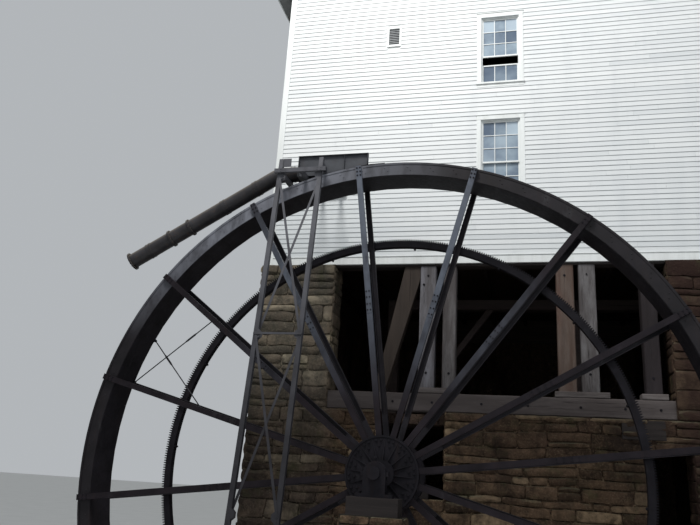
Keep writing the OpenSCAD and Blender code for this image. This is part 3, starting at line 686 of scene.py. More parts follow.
# skirt board with a drip cap, rake boards and eave friezes
b = Build(21)
for w in (FRONT, REAR, LEFT, RIGHT):
    e = 0.131
    w.box(b, e, w.length - e, -0.001, 0.026, SID, SID + 0.185)
    w.box(b, e, w.length - e, -0.001, 0.042, SID + 0.185, SID + 0.206)
for w in (FRONT, REAR):
    L = w.length
    for s in (0, 1):
        f = (lambda u: L - u) if s else (lambda u: u)
        u0, u1 = 0.0, L / 2
        p = [w.p(f(u), n, EAVE + RISE * u - d) for u in (u0, u1) for n in (-0.001, 0.032) for d in (0.235, 0.006)]
        b.hexa(p)
        p = [w.p(f(u), n, EAVE + RISE * u - d) for u in (u0, u1) for n in (0.032, 0.052) for d in (0.075, 0.006)]
        b.hexa(p)
for w in (LEFT, RIGHT):
    w.box(b, 0.0, w.length, -0.001, 0.030, EAVE - 0.27, EAVE - 0.012)
b.obj("skirt_and_frieze_boards", "structure", M["trim"], "white_clapboard", bevel=0.003)


# --------------------------------------------------------------------- windows
sash = Build(31)
panes = Build(32)
case = Build(33)


def sash_frame(w, x0, x1, n0, z0, z1, cols, rows, st=0.027, top=0.034, foot=0.040, th=0.034, mw=0.018, pane_shade=0.0):
    """One sash: stiles, rails, glazing bars and a pane in each light."""
    w.box(sash, x0, x0 + st, n0 - th, n0, z0, z1)
    w.box(sash, x1 - st, x1, n0 - th, n0, z0, z1)
    w.box(sash, x0 + st, x1 - st, n0 - th, n0, z0, z0 + foot)
    w.box(sash, x0 + st, x1 - st, n0 - th, n0, z1 - top, z1)
    px0, px1, pz0, pz1 = x0 + st, x1 - st, z0 + foot, z1 - top
    for i in range(1, cols):
        c = px0 + (px1 - px0) * i / cols
        w.box(sash, c - mw / 2, c + mw / 2, n0 - th + 0.004, n0 - 0.003, pz0, pz1)
    for i in range(1, rows):
        c = pz0 + (pz1 - pz0) * i / rows
        w.box(sash, px0, px1, n0 - th + 0.006, n0 - 0.005, c - mw / 2, c + mw / 2)
    for i in range(cols):
        for j in range(rows):
            a0, a1 = px0 + (px1 - px0) * i / cols, px0 + (px1 - px0) * (i + 1) / cols
            c0, c1 = pz0 + (pz1 - pz0) * j / rows, pz0 + (pz1 - pz0) * (j + 1) / rows
            # Painted shade: the panes of a sash can be made darker by the given amount; the lower sashes use it.
            ti = min(1, max(0, panes.rng.gauss(0.50, 0.26) - pane_shade))
            tw = panes.rng.uniform(-0.0016, 0.0016)
            pts = [w.p(u, n0 - 0.020 + (tw if u == a0 else -tw) - d, z) for u in (a0, a1) for d in (0, 0.004) for z in (c0, c1)]
            panes.hexa(pts, ti)


def window(w, uc, z0, open_sash=False):
    fr = 0.032
    x0, x1, zb, zt = uc - WW / 2, uc + WW / 2, z0, z0 + WH
    cw = 0.105
    # casing boards, sill and drip cap
    w.box(case, x0 - cw, x0 + 0.004, -0.001, 0.026, zb - 0.01, zt)
    w.box(case, x1 - 0.004, x1 + cw, -0.001, 0.026, zb - 0.01, zt)
    w.box(case, x0 - cw, x1 + cw, -0.001, 0.030, zt - 0.004, zt + 0.115)
    w.box(case, x0 - cw - 0.015, x1 + cw + 0.015, -0.001, 0.045, zt + 0.115, zt + 0.133)
    w.box(case, x0 - cw - 0.015, x1 + cw + 0.015, -0.10, 0.056, zb - 0.055, zb - 0.006)
    w.box(case, x0 - cw, x1 + cw, -0.001, 0.024, zb - 0.140, zb - 0.055)
    gx0, gx1, gb, gt = x0 + fr, x1 - fr, zb + fr, zt - fr
    mid = gb + (gt - gb) * 0.405
    sash_frame(w, gx0, gx1, -0.046, mid - 0.020, gt, 3, 3)
    # The lower sash has darker panes: painted shade.
    if open_sash:
        sash_frame(w, gx0, gx1, -0.084, gb, mid - 0.235, 3, 1, pane_shade=0.46)
    else:
        sash_frame(w, gx0, gx1, -0.084, gb, mid + 0.018, 3, 2, pane_shade=0.30)


for i, (u, z) in enumerate(WIN["front"]):
    window(FRONT, u, z, open_sash=(i == 1))
for key, w in (("rear", REAR), ("left", LEFT), ("right", RIGHT)):
    for u, z in WIN[key]:
        window(w, u, z)
# vent with louvres
vx, vz, vw, vh = VENT
u0, u1 = vx - HX0 - vw / 2, vx - HX0 + vw / 2
FRONT.box(case, u0 - 0.05, u0 + 0.01, -0.001, 0.030, vz - 0.05, vz + vh + 0.05)
FRONT.box(case, u1 - 0.01, u1 + 0.05, -0.001, 0.030, vz - 0.05, vz + vh + 0.05)
FRONT.box(case, u0 + 0.01, u1 - 0.01, -0.001, 0.030, vz + vh - 0.01, vz + vh + 0.05)
FRONT.box(case, u0 + 0.01, u1 - 0.01, -0.001, 0.034, vz - 0.05, vz + 0.01)
case.obj("window_casings", "structure", M["trim"], "white_clapboard", bevel=0.003)
sash.obj("window_sashes", "structure", M["trim"], "white_clapboard", bevel=0.0015)
panes.obj("window_panes", "structure", M["glass"], "window_glass", replaces=["window_glass"])
b = Build(34)
n = 9
for i in range(n):
    z = vz + 0.02 + (vh - 0.04) * i / n
    d = (vh - 0.04) / n
    pts = [FRONT.p(u, o, zz) for u in (u0 + 0.008, u1 - 0.008)
           for o, zz in ((-0.034, z + d * 0.9), (-0.034, z + d * 1.05), (0.004, z), (0.004, z + d * 0.18))]
    b.hexa(pts)
b.obj("vent_louvres", "structure", M["vent"], "vent_paint")
paint(M["vent"], "wall_vent")
paint(M["trim"], "window_frames", "corner_boards")
paint(M["wall"], "front_wall", "rear_wall", "left_wall", "right_wall")

# ------------------------------------------------------------------- rear door
b = Build(41)
y = HY1 - 0.060
for k, (d0, d1) in enumerate(((MX - DOOR_W / 2 + 0.004, MX - 0.006), (MX + 0.006, MX + DOOR_W / 2 - 0.004))):
    n = 5
    for i in range(n):
        a0 = d0 + (d1 - d0) * i / n + 0.0015
        a1 = d0 + (d1 - d0) * (i + 1) / n - 0.0015
        b.box((a0, y - 0.001, FL[0] + 0.012), (a1, y + 0.018, FL[0] + DOOR_H - 0.014))
    for zc in (0.25, 1.10, 1.95):
        b.box((d0 + 0.03, y + 0.018, FL[0] + zc - 0.06), (d1 - 0.03, y + 0.038, FL[0] + zc + 0.06))
b.obj("door_planks", "structure", M["door"], "door_paint", bevel=0.002)
b = Build(42)
for s in (-1, 1):
    for zc in (0.25, 1.95):
        x0, x1 = MX + s * (DOOR_W / 2 - 0.02), MX + s * 0.18
        b.box((min(x0, x1), y + 0.038, FL[0] + zc - 0.022), (max(x0, x1), y + 0.043, FL[0] + zc + 0.022))
        b.tube((x0, y + 0.045, FL[0] + zc - 0.06), (x0, y + 0.045, FL[0] + zc + 0.06), 0.013, 10)
        for k in range(4):
            b.bolt((x0 - s * (0.08 + 0.14 * k), y + 0.043, FL[0] + zc), (0, 1, 0), 0.008, 0.006, washer=False)
b.tube((MX + 0.09, y + 0.07, FL[0] + 1.00), (MX + 0.09, y + 0.07, FL[0] + 1.22), 0.010, 10)
for z in (1.00, 1.22):
    b.tube((MX + 0.09, y + 0.018, FL[0] + z), (MX + 0.09, y + 0.07, FL[0] + z), 0.010, 10)
b.obj("door_ironwork", "structure", M["iron"], "cast_iron", smooth=40)
b = Build(43)
d0, d1 = MX - DOOR_W / 2, MX + DOOR_W / 2
b.box((d0 - 0.11, HY1 - 0.001, FL[0] - 0.02), (d0 + 0.004, HY1 + 0.032, FL[0] + DOOR_H))
b.box((d1 - 0.004, HY1 - 0.001, FL[0] - 0.02), (d1 + 0.11, HY1 + 0.032, FL[0] + DOOR_H))
b.box((d0 - 0.11, HY1 - 0.001, FL[0] + DOOR_H), (d1 + 0.11, HY1 + 0.034, FL[0] + DOOR_H + 0.13))
b.box((d0 - 0.13, HY1 - 0.001, FL[0] + DOOR_H + 0.13), (d1 + 0.13, HY1 + 0.056, FL[0] + DOOR_H + 0.15))
b.box((d0 - 0.11, HY1 - 0.19, FL[0] - 0.07), (d1 + 0.11, HY1 + 0.07, FL[0] - 0.005))
b.obj("door_casing", "structure", M["trim"], "white_clapboard", bevel=0.003)
paint(M["door"], "rear_door")

# ------------------------------------------------------------------------ roof
b = Build(51)
run = (HX1 - HX0) / 2 + 0.45
ca = 1 / math.sqrt(1 + RISE * RISE)
thick = 0.180 / ca
y0, y1 = WY - 0.32, HY1 + 0.32
nrib = 24
for s in (-1, 1):
    for i in range(nrib + 1):
        yc = y0 + 0.03 + (y1 - y0 - 0.06) * i / nrib
        p = []
        for r in (0.12, run + 0.012):
            for yy in (yc - 0.011, yc + 0.011):
                for h in (-0.004, 0.034):
                    p.append((MX + s * r, yy, RIDGE + thick - RISE * r + h))
        b.hexa(p)
    # drip edge and turned-down sheet at the eave
    p = [(MX + s * r, yy, RIDGE + thick - RISE * r + h) for r in (run - 0.02, run + 0.022) for yy in (y0 - 0.01, y1 + 0.01) for h in (-0.055, 0.006)]
    b.hexa(p)
    for yy, e in ((y0, -1), (y1, 1)):
        p = [(MX + s * r, yy + e * o, RIDGE + thick - RISE * r + h) for r in (0.02, run + 0.02) for o in (-0.03, 0.012) for h in (-0.05, 0.008)]
        b.hexa(p)
b.obj("roof_seams", "structure", M["roof"], "roof_metal")
paint(M["roof"], "roof_left", "roof_right")
paint(M["ridge"], "ridge_cap")
b = Build(52)
for s in (-1, 1):
    # fascia at the eave
    x = MX + s * run
    zt = RIDGE + thick - RISE * run
    b.box((min(x, x + s * 0.024), y0, zt - 0.235), (max(x, x + s * 0.024), y1, zt - 0.03))
    # barge boards on both gables
    for yy, e in ((y0, -1), (y1, 1)):
        p = [(MX + s * r, yy + e * o, RIDGE + thick - RISE * r + h) for r in (0.0, run) for o in (0.0, 0.026) for h in (-0.245, -0.045)]
        b.hexa(p)
    # soffit boards
    for j in range(2):
        for yy0, yy1 in ((y0 + 0.004, WY - 0.05), (HY1 + 0.05, y1 - 0.004)):
            a = yy0 + (yy1 - yy0) * j / 2 + 0.003
            c = yy0 + (yy1 - yy0) * (j + 1) / 2 - 0.003
            p = [(MX + s * r, yy, RIDGE - RISE * r - h) for r in (0.01, run - 0.004) for yy in (a, c) for h in (-0.001, 0.018)]
            b.hexa(p)
b.obj("roof_trim_boards", "structure", M["trim"], "white_clapboard")

# --------------------------------------------------------------------- masonry
def stone(b, P, u0, u1, z0, z1, deep, rng, fine=1):
    """One rough block: a quarried front with a broken border and short sides."""
    w, h = u1 - u0, z1 - z0
    nu = max(3, min(11 if fine else 9, int(round(w / (0.105 if fine else 0.24)))))
    nv = max(3, min(6 if fine else 5, int(round(h / (0.070 if fine else 0.13)))))
    gap = rng.uniform(0.006, 0.021)
    pts = []
    seed = rng.random() * 100
    face = rng.uniform(0.42, 1.0) * deep
    tilt_u, tilt_z = rng.uniform(-0.35, 0.35) * deep, rng.uniform(-0.40, 0.40) * deep
    for j in range(nv + 1):
        for i in range(nu + 1):
            fu, fz = i / nu, j / nv
            eu, ez = min(fu, 1 - fu), min(fz, 1 - fz)
            uu = u0 + gap + (w - 2 * gap) * fu
            zz = z0 + gap + (h - 2 * gap) * fz
            nz = noise.noise((uu * 3.6 + seed, zz * 5.1, seed))
            nf = noise.noise((uu * 11.0, zz * 13.0 + seed, seed * 1.7))
            if eu == 0 and ez == 0:
                uu += (0.018 + 0.012 * nz) * (1 if fu == 0 else -1)
                zz += (0.015 + 0.012 * nz) * (1 if fz == 0 else -1)
                out = face * 0.40
            elif eu == 0 or ez == 0:
                out = face * (0.64 + 0.40 * nf)
                if eu == 0:
                    uu += 0.012 * nf * (1 if fu == 0 else -1) + 0.003 * (1 if fu == 0 else -1)
                else:
                    zz += 0.012 * nf * (1 if fz == 0 else -1) + 0.003 * (1 if fz == 0 else -1)
            else:
                out = face * (1.0 + 0.45 * nz) + 0.021 * nf
                uu += 0.010 * nz
                zz += 0.010 * nf
            out += tilt_u * (fu - 0.5) + tilt_z * (fz - 0.5)
            pts.append(P(uu, min(deep * 1.35, max(0.006, out)), zz))
    base = len(pts)
    ring = [(i, 0) for i in range(nu)] + [(nu, j) for j in range(nv)] + [(i, nv) for i in range(nu, 0, -1)] + [(0, j) for j in range(nv, 0, -1)]
    for i, j in ring:
        uu = u0 + gap * 0.6 + (w - 1.2 * gap) * i / nu
        zz = z0 + gap * 0.6 + (h - 1.2 * gap) * j / nv
        pts.append(P(uu, -0.02, zz))
    fs = []
    for j in range(nv):
        for i in range(nu):
            a = j * (nu + 1) + i
            fs.append((a, a + 1, a + nu + 2, a + nu + 1))
    R = len(ring)
    for k in range(R):
        i, j = ring[k]
        i2, j2 = ring[(k + 1) % R]
        a, c = j * (nu + 1) + i, j2 * (nu + 1) + i2
        fs.append((a, base + k, base + (k + 1) % R, c))
    q = rng.random()
    b.add(pts, fs, rng.uniform(0.0, 0.22) if q < 0.22 else (rng.uniform(0.72, 1.0) if q > 0.80 else rng.uniform(0.25, 0.62)))


def masonry(b, P, u0, u1, levels, holes, deep=0.070, course=(0.14, 0.42), length=(0.32, 1.20), fine=1):
    """Coursed blocks over a face; rows break at each of the given heights."""
    rng = b.rng
    ws = rng.random() * 40

    def Q(u, o, z):
        """Bed joints and ends waver, save along the borders of the face."""
        d = min(u - u0, u1 - u, z - levels[0], levels[-1] - z)
        for h0, h1, hz0, hz1 in holes:
            d = min(d, math.hypot(max(h0 - u, u - h1, 0.0), max(hz0 - z, z - hz1, 0.0)))
        f = min(1.0, max(0.0, d / 0.30))
        du = 0.050 * noise.noise((u * 0.8, z * 2.6, ws)) * f
        dz = (0.060 * noise.noise((u * 0.95, z * 0.8, ws + 9.0)) + 0.016 * noise.noise((u * 3.1, z * 2.0, ws))) * f
        return P(u + du, o, z + dz)

    for za, zb in zip(levels[:-1], levels[1:]):
        hs, s = [], 0.0
        while s < zb - za:
            h = rng.uniform(*course)
            hs.append(h)
            s += h
        if len(hs) > 1 and (s - (zb - za)) > hs[-1] * 0.5:
            s -= hs.pop()
        k = (zb - za) / s
        z = za
        for h in hs:
            h *= k
            spans = [(u0, u1)]
            for h0, h1, hz0, hz1 in holes:
                if z + h / 2 > hz0 and z + h / 2 < hz1:
                    new = []
                    for s0, s1 in spans:
                        if h1 <= s0 or h0 >= s1:
                            new.append((s0, s1))
                        else:
                            if h0 > s0:
                                new.append((s0, h0))
                            if h1 < s1:
                                new.append((h1, s1))
                    spans = new
            for s0, s1 in spans:
                u = s0
                while u < s1 - 1e-6:
                    L = rng.uniform(*length)
                    if s1 - (u + L) < length[0] * 0.7:
                        L = s1 - u
                    if L > 1.35:
                        L = L / 2
                    if h > 0.28 and rng.random() < 0.34 and L > 0.4:
                        f = rng.uniform(0.34, 0.66)
                        stone(b, Q, u, u + L, z, z + h * f, deep, rng, fine)
                        stone(b, Q, u, u + L, z + h * f, z + h, deep, rng, fine)
                    else:
                        stone(b, Q, u, u + L, z, z + h, deep, rng, fine)
                    u += L
            z += h


SX0, SX1, SY0, SY1 = HX0 - 0.12, HX1 + 0.12, WY - 0.04, HY1 + 0.12
RX0, RX1, RZ = -0.750, 0.800, -0.450
PX0, PX1, PZ = 5.000, 5.850, 0.750
PIER0, PIER1 = -1.950, 5.600
BOT = -HZ
b = Build(61)
front_p = lambda u, o, z: (u, SY0 - o, z)
masonry(b, front_p, SX0, SX1, [BOT, RZ, PZ, STONE_Z], [(RX0, RX1, RZ, STONE_Z), (PX0, PX1, BOT, PZ)])
masonry(b, front_p, SX0, PIER0, [STONE_Z, SID], [])
masonry(b, front_p, PIER1, SX1, [STONE_Z, SID], [])
# reveals of the recess, the pit doorway and the piers
masonry(b, lambda u, o, z: (RX0 + o, u, z), SY0, SY0 + 0.7, [RZ, STONE_Z], [], deep=0.035)
masonry(b, lambda u, o, z: (RX1 - o, u, z), SY0, SY0 + 0.7, [RZ, STONE_Z], [], deep=0.035)
masonry(b, lambda u, o, z: (PX0 + o, u, z), SY0, SY0 + 0.7, [BOT, PZ], [], deep=0.035)
masonry(b, lambda u, o, z: (PX1 - o, u, z), SY0, SY0 + 0.7, [BOT, PZ], [], deep=0.035)
masonry(b, lambda u, o, z: (PIER0 + o, u, z), SY0, SY0 + 0.7, [BEAM_Z + 0.02, SID - 0.07], [], deep=0.035)
masonry(b, lambda u, o, z: (PIER1 - o, u, z), SY0, SY0 + 0.7, [BEAM_Z + 0.02, SID - 0.07], [], deep=0.035)
b.obj("wheel_wall_stones", "structure", M["stone"], "sandstone", smooth=38)
b = Build(62)
masonry(b, lambda u, o, z: (SX0 - o, u, z), SY0, SY1, [BOT, STONE_Z, SID], [], course=(0.22, 0.46), length=(0.45, 1.35), fine=0)
masonry(b, lambda u, o, z: (SX1 + o, u, z), SY0, SY1, [BOT, STONE_Z, SID], [], course=(0.22, 0.46), length=(0.45, 1.35), fine=0)
b.obj("side_wall_stones", "structure", M["stone"], "sandstone", smooth=38)
b = Build(63)
masonry(b, lambda u, o, z: (u, SY1 + o, z), SX0, SX1, [BOT, STONE_Z, SID], [], course=(0.22, 0.46), length=(0.45, 1.35), fine=0)
b.obj("rear_wall_stones", "structure", M["stone"], "sandstone", smooth=38)
b = Build(64)
pz1 = -0.70
masonry(b, lambda u, o, z: (u, -0.860 - o, z), -0.55, 0.55, [BOT, pz1], [], deep=0.045, length=(0.3, 0.7))
masonry(b, lambda u, o, z: (u, -0.400 + o, z), -0.55, 0.55, [BOT, pz1], [], deep=0.030, length=(0.3, 0.7))
masonry(b, lambda u, o, z: (-0.55 - o, u, z), -0.86, -0.40, [BOT, pz1], [], deep=0.045, length=(0.3, 0.5))
masonry(b, lambda u, o, z: (0.55 + o, u, z), -0.86, -0.40, [BOT, pz1], [], deep=0.045, length=(0.3, 0.5))
b.obj("pier_stones", "structure", M["stone"], "sandstone", smooth=38)
paint(M["stone_cad"], "wheel_wall_left", "wheel_wall_base", "wheel_wall_right", "wheel_wall_lintel", "wheel_wall_end",
      "foundation_left", "foundation_right", "foundation_rear", "corner_pier_left", "corner_pier_right", "undercroft_floor")
paint(M["mortar"], "bearing_pier")
# the stone ledge under the sill beam
b = Build(65)
x = SX0
while x < SX1 - 0.2:
    L = min(b.rng.uniform(0.8, 1.7), SX1 - x)
    if not (x < RX1 and x + L > RX0):
        if (x + L < PIER0) or x > PIER1:
            pass
        else:
            stone(b, lambda u, o, z: (u, SY0 - o, z), x, x + L, STONE_Z - 0.10, STONE_Z + 0.005, 0.075, b.rng)
    x += L
b.obj("ledge_stones", "structure", M["stone"], "sandstone", smooth=38)

# ---------------------------------------------------------------------- timber
posts = [(0.150, 0.380), (0.700, 0.310), (3.260, 0.390), (3.750, 0.370), (5.040, 0.335)]
HEAD = SID - 0.060
pb = [Build(71), Build(171), Build(72), Build(271)]
for i, (x, w) in enumerate(posts):
    k = (0, 1, 2, 1, 3)[i]
    pb[k].timber((x, WY + 0.03, BEAM_Z + 0.13), (x + w, WY + 0.35, HEAD), "z", cut=0.016, rough=0.005, tint=0.5)
pb[0].obj("front_post_light", "structure", M["post"], "whitewashed_timber", smooth=30, replaces=["front_posts"])
pb[1].obj("front_posts_hewn", "structure", M["post_dim"], "whitewashed_timber", smooth=30, replaces=["front_posts"])
pb[3].obj("front_post_end", "structure", M["post_shade"], "whitewashed_timber", smooth=30, replaces=["front_posts"])
pb[2].obj("front_post_red", "structure", M["post_red"], "whitewashed_timber", smooth=30, replaces=["front_posts"])
b = Build(73)
for x, w in ((0.060, 1.040), (3.180, 1.130), (4.950, 0.520)):
    b.timber((x, WY + 0.01, BEAM_Z), (x + w, WY + 0.375, BEAM_Z + 0.13), "x", cut=0.012, rough=0.004)
b.obj("post_base_timbers", "structure", M["slab"], "whitewashed_timber", smooth=30, replaces=["post_bases"])
b = Build(74)
b.timber((PIER0, WY, STONE_Z), (PIER1, WY + 0.38, BEAM_Z), "x", cut=0.02, rough=0.007, step=0.3)
b.obj("sill_beam_hewn", "structure", M["sill"], "weathered_timber", smooth=30, replaces=["sill_beam"])
# The header plank under the siding: a real plate whose very dark timber also stands in for the shade in the recess
# there.
b = Build(75)
b.timber((PIER0, WY + 0.03, HEAD), (PIER1, WY + 0.35, SID - 0.001), "x", cut=0.006, rough=0.003, step=0.4)
b.obj("header_plank", "structure", M["dark_wood"], "weathered_timber", smooth=30, replaces=["header_plate"])
paint(M["brace"], "front_brace", bevel=0.018)
paint(M["inner_wood"], "inner_frame", bevel=0.012)
paint(M["joist"], "floor_joists")
paint(M["floor"], "lower_floor", "upper_floor", "attic_floor")
paint(M["dark_wood"], "bearing_blocks", bevel=0.01)
# dark bolster let into the wall under the beam
b = Build(76)
b.timber((4.500, SY0 - 0.045, 1.00), (5.350, SY0 + 0.10, 1.40), "x", cut=0.012, rough=0.004)
b.obj("sill_bolster", "structure", M["dark_wood"], "weathered_timber", smooth=30)
# bolts on the posts and along the sill beam
b = Build(77)
for x, z in ((0.34, 4.62), (0.24, 4.40), (0.86, 4.60), (3.45, 4.60), (3.93, 4.62), (5.20, 4.60), (0.34, 2.30), (0.86, 2.30), (3.45, 2.35), (3.93, 2.35), (5.20, 2.30)):
    b.bolt((x, WY + 0.036, z), (0, -1, 0), 0.020, 0.022)
for x in (-1.4, -0.4, 0.5, 1.6, 2.6, 3.7, 4.6, 5.3):
    b.bolt((x, WY + 0.006, 1.63), (0, -1, 0), 0.020, 0.020)
b.obj("post_bolts", "structure", M["iron"], "cast_iron", smooth=40)


# ----------------------------------------------------------------- waterwheel
def R(a, r, t, y):
    """A place on the wheel: angle in degrees, radius, tangential offset, depth."""
    w = math.radians(a)
    return (r * math.cos(w) - t * math.sin(w), y, r * math.sin(w) + t * math.cos(w))


def rdir(a, r=1.0, t=0.0):
    w = math.radians(a)
    return Vector((r * math.cos(w) - t * math.sin(w), 0, r * math.sin(w) + t * math.cos(w)))


paint(M["dark_steel"], "rear_shroud", "sole_plates", "buckets", "rear_arms")
paint(M["rim_face"], "front_shroud")
paint(M["arm_steel"], "front_arms")
paint(M["rod"], "tie_rods")
paint(M["iron"], "segment_gear", "front_hub", "rear_hub", "axle", "front_bearing", "rear_bearing")
PITCH = BAY / 5
b = Build(81)
for i in range(80):
    a = ARM0 + (i + 0.5) * PITCH
    for k in range(4):
        f = (k + 0.35) / 3.7
        r, t = R_IN + 0.012 + 0.24 * f, 0.012 + 0.262 * f
        b.rivet(R(a, r, t, -0.0005), (0, -1, 0), 0.013)
        b.rivet(R(a, r, t, WHEEL_W + 0.0005), (0, 1, 0), 0.013)
b.obj("bucket_rivets", "waterwheel", M["rim_face"], "dark_steel", smooth=60)
# angle strips that stiffen both edges of each shroud plate
b = Build(82)
for y0_, y1_ in ((-0.009, -0.0005), (WHEEL_W + 0.0005, WHEEL_W + 0.009)):
    for i in range(NARM):
        for k in range(10):
            a0 = ARM0 + i * BAY + 0.8 + (BAY - 1.6) * k / 10
            a1 = ARM0 + i * BAY + 0.8 + (BAY - 1.6) * (k + 1) / 10
            for r0, r1 in ((WHEEL_R - 0.046, WHEEL_R - 0.002), (R_IN + 0.002, R_IN + 0.040)):
                p = [R(a, r, 0, y) for a in (a0, a1) for y in (y0_, y1_) for r in (r0, r1)]
                b.hexa(p, 0.5)
b.obj("rim_edge_strips", "waterwheel", M["rim_face"], "dark_steel")
# bolts where the arms meet the rim and the gear ring, and the arms' splices
AW = 0.110
b = Build(83)
bf = Build(183)
bo = Build(84)
for i in range(NARM):
    a = ARM0 + i * BAY
    d, tt = rdir(a), rdir(a, 0, 1)
    for k in range(3):
        for t in (-0.032, 0.032):
            bo.bolt(R(a, R_IN + 0.05 + 0.085 * k, t, -0.0765), (0, -1, 0), 0.013, 0.012)
            bo.bolt(R(a, R_IN + 0.05 + 0.085 * k, t, WHEEL_W + 0.0765), (0, 1, 0), 0.013, 0.012)
    # clips that hold the gear ring to the rear arms
    for q in (-1, 1):
        p = [R(a, r, q * t, y) for r in (4.610, 4.628) for t in (0.012, 0.050) for y in (WHEEL_W + 0.078, WHEEL_W + 0.190)]
        b.hexa(p, 0.5)
        bo.bolt(R(a, 4.611, q * 0.032, WHEEL_W + 0.140), -d, 0.012, 0.012)
    # splice along the front arms
    p = [R(a, r, t, y) for r in (3.02, 3.52) for t in (-0.050, 0.050) for y in (-0.0830, -0.0762)]
    bf.hexa(p, 0.5)
    for r in (3.08, 3.20, 3.34, 3.46):
        for t in (-0.029, 0.029):
            bo.bolt(R(a, r, t, -0.0828), (0, -1, 0), 0.011, 0.010)
b.obj("gear_clips", "waterwheel", M["iron"], "cast_iron")
bf.obj("arm_splices", "waterwheel", M["arm_steel"], "dark_steel")
bo.obj("arm_bolts", "waterwheel", M["iron"], "cast_iron", smooth=40)
# hub: flange bead, ribs and arm bolts
b = Build(85)
seg = 96
for y0_, y1_ in ((-0.121, -0.1072), (WHEEL_W + 0.1072, WHEEL_W + 0.121)):
    for k in range(seg):
        a0, a1 = 360 * k / seg, 360 * (k + 1) / seg
        p = [R(a, r, 0, y) for a in (a0, a1) for y in (y0_, y1_) for r in (0.650, 0.684)]
        b.hexa(p, 0.5)
for i in range(NARM):
    a = ARM0 + (i + 0.5) * BAY
    for ya, yb in ((-0.107, -0.150), (WHEEL_W + 0.107, WHEEL_W + 0.215)):
        t = rdir(a, 0, 1) * 0.009
        p0, p1, p2 = Vector(R(a, 0.235, 0, ya)), Vector(R(a, 0.63, 0, ya)), Vector(R(a, 0.235, 0, yb))
        b.poly([p0 - t, p1 - t, p2 - t], 2 * t, 0.5)
b.obj("hub_ribs", "waterwheel", M["iron"], "cast_iron", smooth=40)
b = Build(86)
for i in range(NARM):
    a = ARM0 + i * BAY
    for r, t in ((0.505, 0.0), (0.600, -0.045), (0.600, 0.045)):
        b.bolt(R(a, r, t, -0.107), (0, -1, 0), 0.021, 0.024)
        b.bolt(R(a, r, t, WHEEL_W + 0.107), (0, 1, 0), 0.021, 0.024)
b.obj("hub_bolts", "waterwheel", M["iron"], "cast_iron", smooth=40)
# turnbuckles near the middle of the tie rods and eyes at their ends
b = Build(87)
for i in (7, 15):
    a0, a1 = ARM0 + i * BAY, ARM0 + (i + 1) * BAY
    for (ra, aa, rb, ab, y) in ((5.90, a0 + 12.4, 4.24, a1 - 0.3, WHEEL_W - 0.014), (4.985, a0 + 0.3, 5.90, a1 - 0.6, WHEEL_W - 0.040)):
        p, q = Vector(R(aa, ra, 0, y)), Vector(R(ab, rb, 0, y))
        d = (q - p).normalized()
        c = p.lerp(q, 0.30)
        n_ = d.cross(Vector((0, 1, 0)))
        for e in (-1, 1):
            b.tube(c - d * 0.11 + n_ * e * 0.016, c + d * 0.11 + n_ * e * 0.016, 0.006, 6)
            b.tube(c + d * (e * 0.125) - d * 0.02, c + d * (e * 0.125) + d * 0.02, 0.017, 8)
        for c, at_rim in ((p, ra > rb), (q, rb > ra)):
            b.tube(c - Vector((0, 0.014, 0)), c + Vector((0, 0.014, 0)), 0.030, 12)
            # a short plate carries the eye to the sole of the rim or to the arm
            if at_rim:
                u = Vector(c).copy()
                u.y = 0
                u.normalize()
                c2 = c + u * 0.030
                b.obox(c2, u * 0.020, Vector((0, 0.014, 0)), u.cross(Vector((0, 1, 0))) * 0.034, 0.5)
            else:
                b.tube(c, Vector((c.x, WHEEL_W + 0.0, c.z)), 0.014, 8)
b.obj("rod_fittings", "waterwheel", M["rod"], "dark_steel", smooth=40)
# joints of the gear segments
b = Build(88)
for i in range(NARM):
    a = ARM0 + (i - 0.5) * BAY
    for q in (-1, 1):
        p = [R(a, r, q * t, y) for r in (4.598, 4.632) for t in (0.003, 0.016) for y in (0.785, 0.910)]
        b.hexa(p, 0.5)
    for y in (0.815, 0.88):
        b.bolt(R(a, 4.614, 0.016, y), rdir(a, 0, 1), 0.009, 0.010)
        b.bolt(R(a, 4.614, -0.016, y), -rdir(a, 0, 1), 0.009, 0.010)
    p = [R(a, r, t, y) for r in (4.600, 4.752) for t in (-0.006, 0.006) for y in (0.779, 0.915)]
    b.hexa(p, 0.5)
b.obj("gear_joints", "waterwheel", M["iron"], "cast_iron")

# ---------------------------------------------------------------- wheel bearings
b = Build(91)
for y, z0 in ((-0.760, -0.400), (WY + 0.12, -0.300)):
    for s in (-1, 1):
        for yy in (y + 0.045, y + 0.135):
            b.bolt((s * 0.270, yy, z0 + 0.060), (0, 0, 1), 0.018, 0.034)
    for s in (-1, 1):
        b.box((s * 0.205 - 0.04, y + 0.02, -0.045), (s * 0.205 + 0.04, y + 0.16, 0.030), 0.5)
        b.bolt((s * 0.215, y + 0.05, 0.030), (0, 0, 1), 0.015, 0.034)
        b.bolt((s * 0.215, y + 0.13, 0.030), (0, 0, 1), 0.015, 0.034)
    b.tube((0, y + 0.09, 0.19), (0, y + 0.09, 0.25), 0.022, 12)
    b.tube((0, y + 0.09, 0.25), (0, y + 0.09, 0.29), 0.036, 12)
b.obj("bearing_fittings", "structure", M["iron"], "cast_iron", smooth=40)

# ---------------------------------------------------------------------- trestle
LX0, LX1, LW = -2.424, -1.541, 0.090
LEAN = 0.1285


def leg_y(z):
    return -0.300 + LEAN * (z - 5.8)


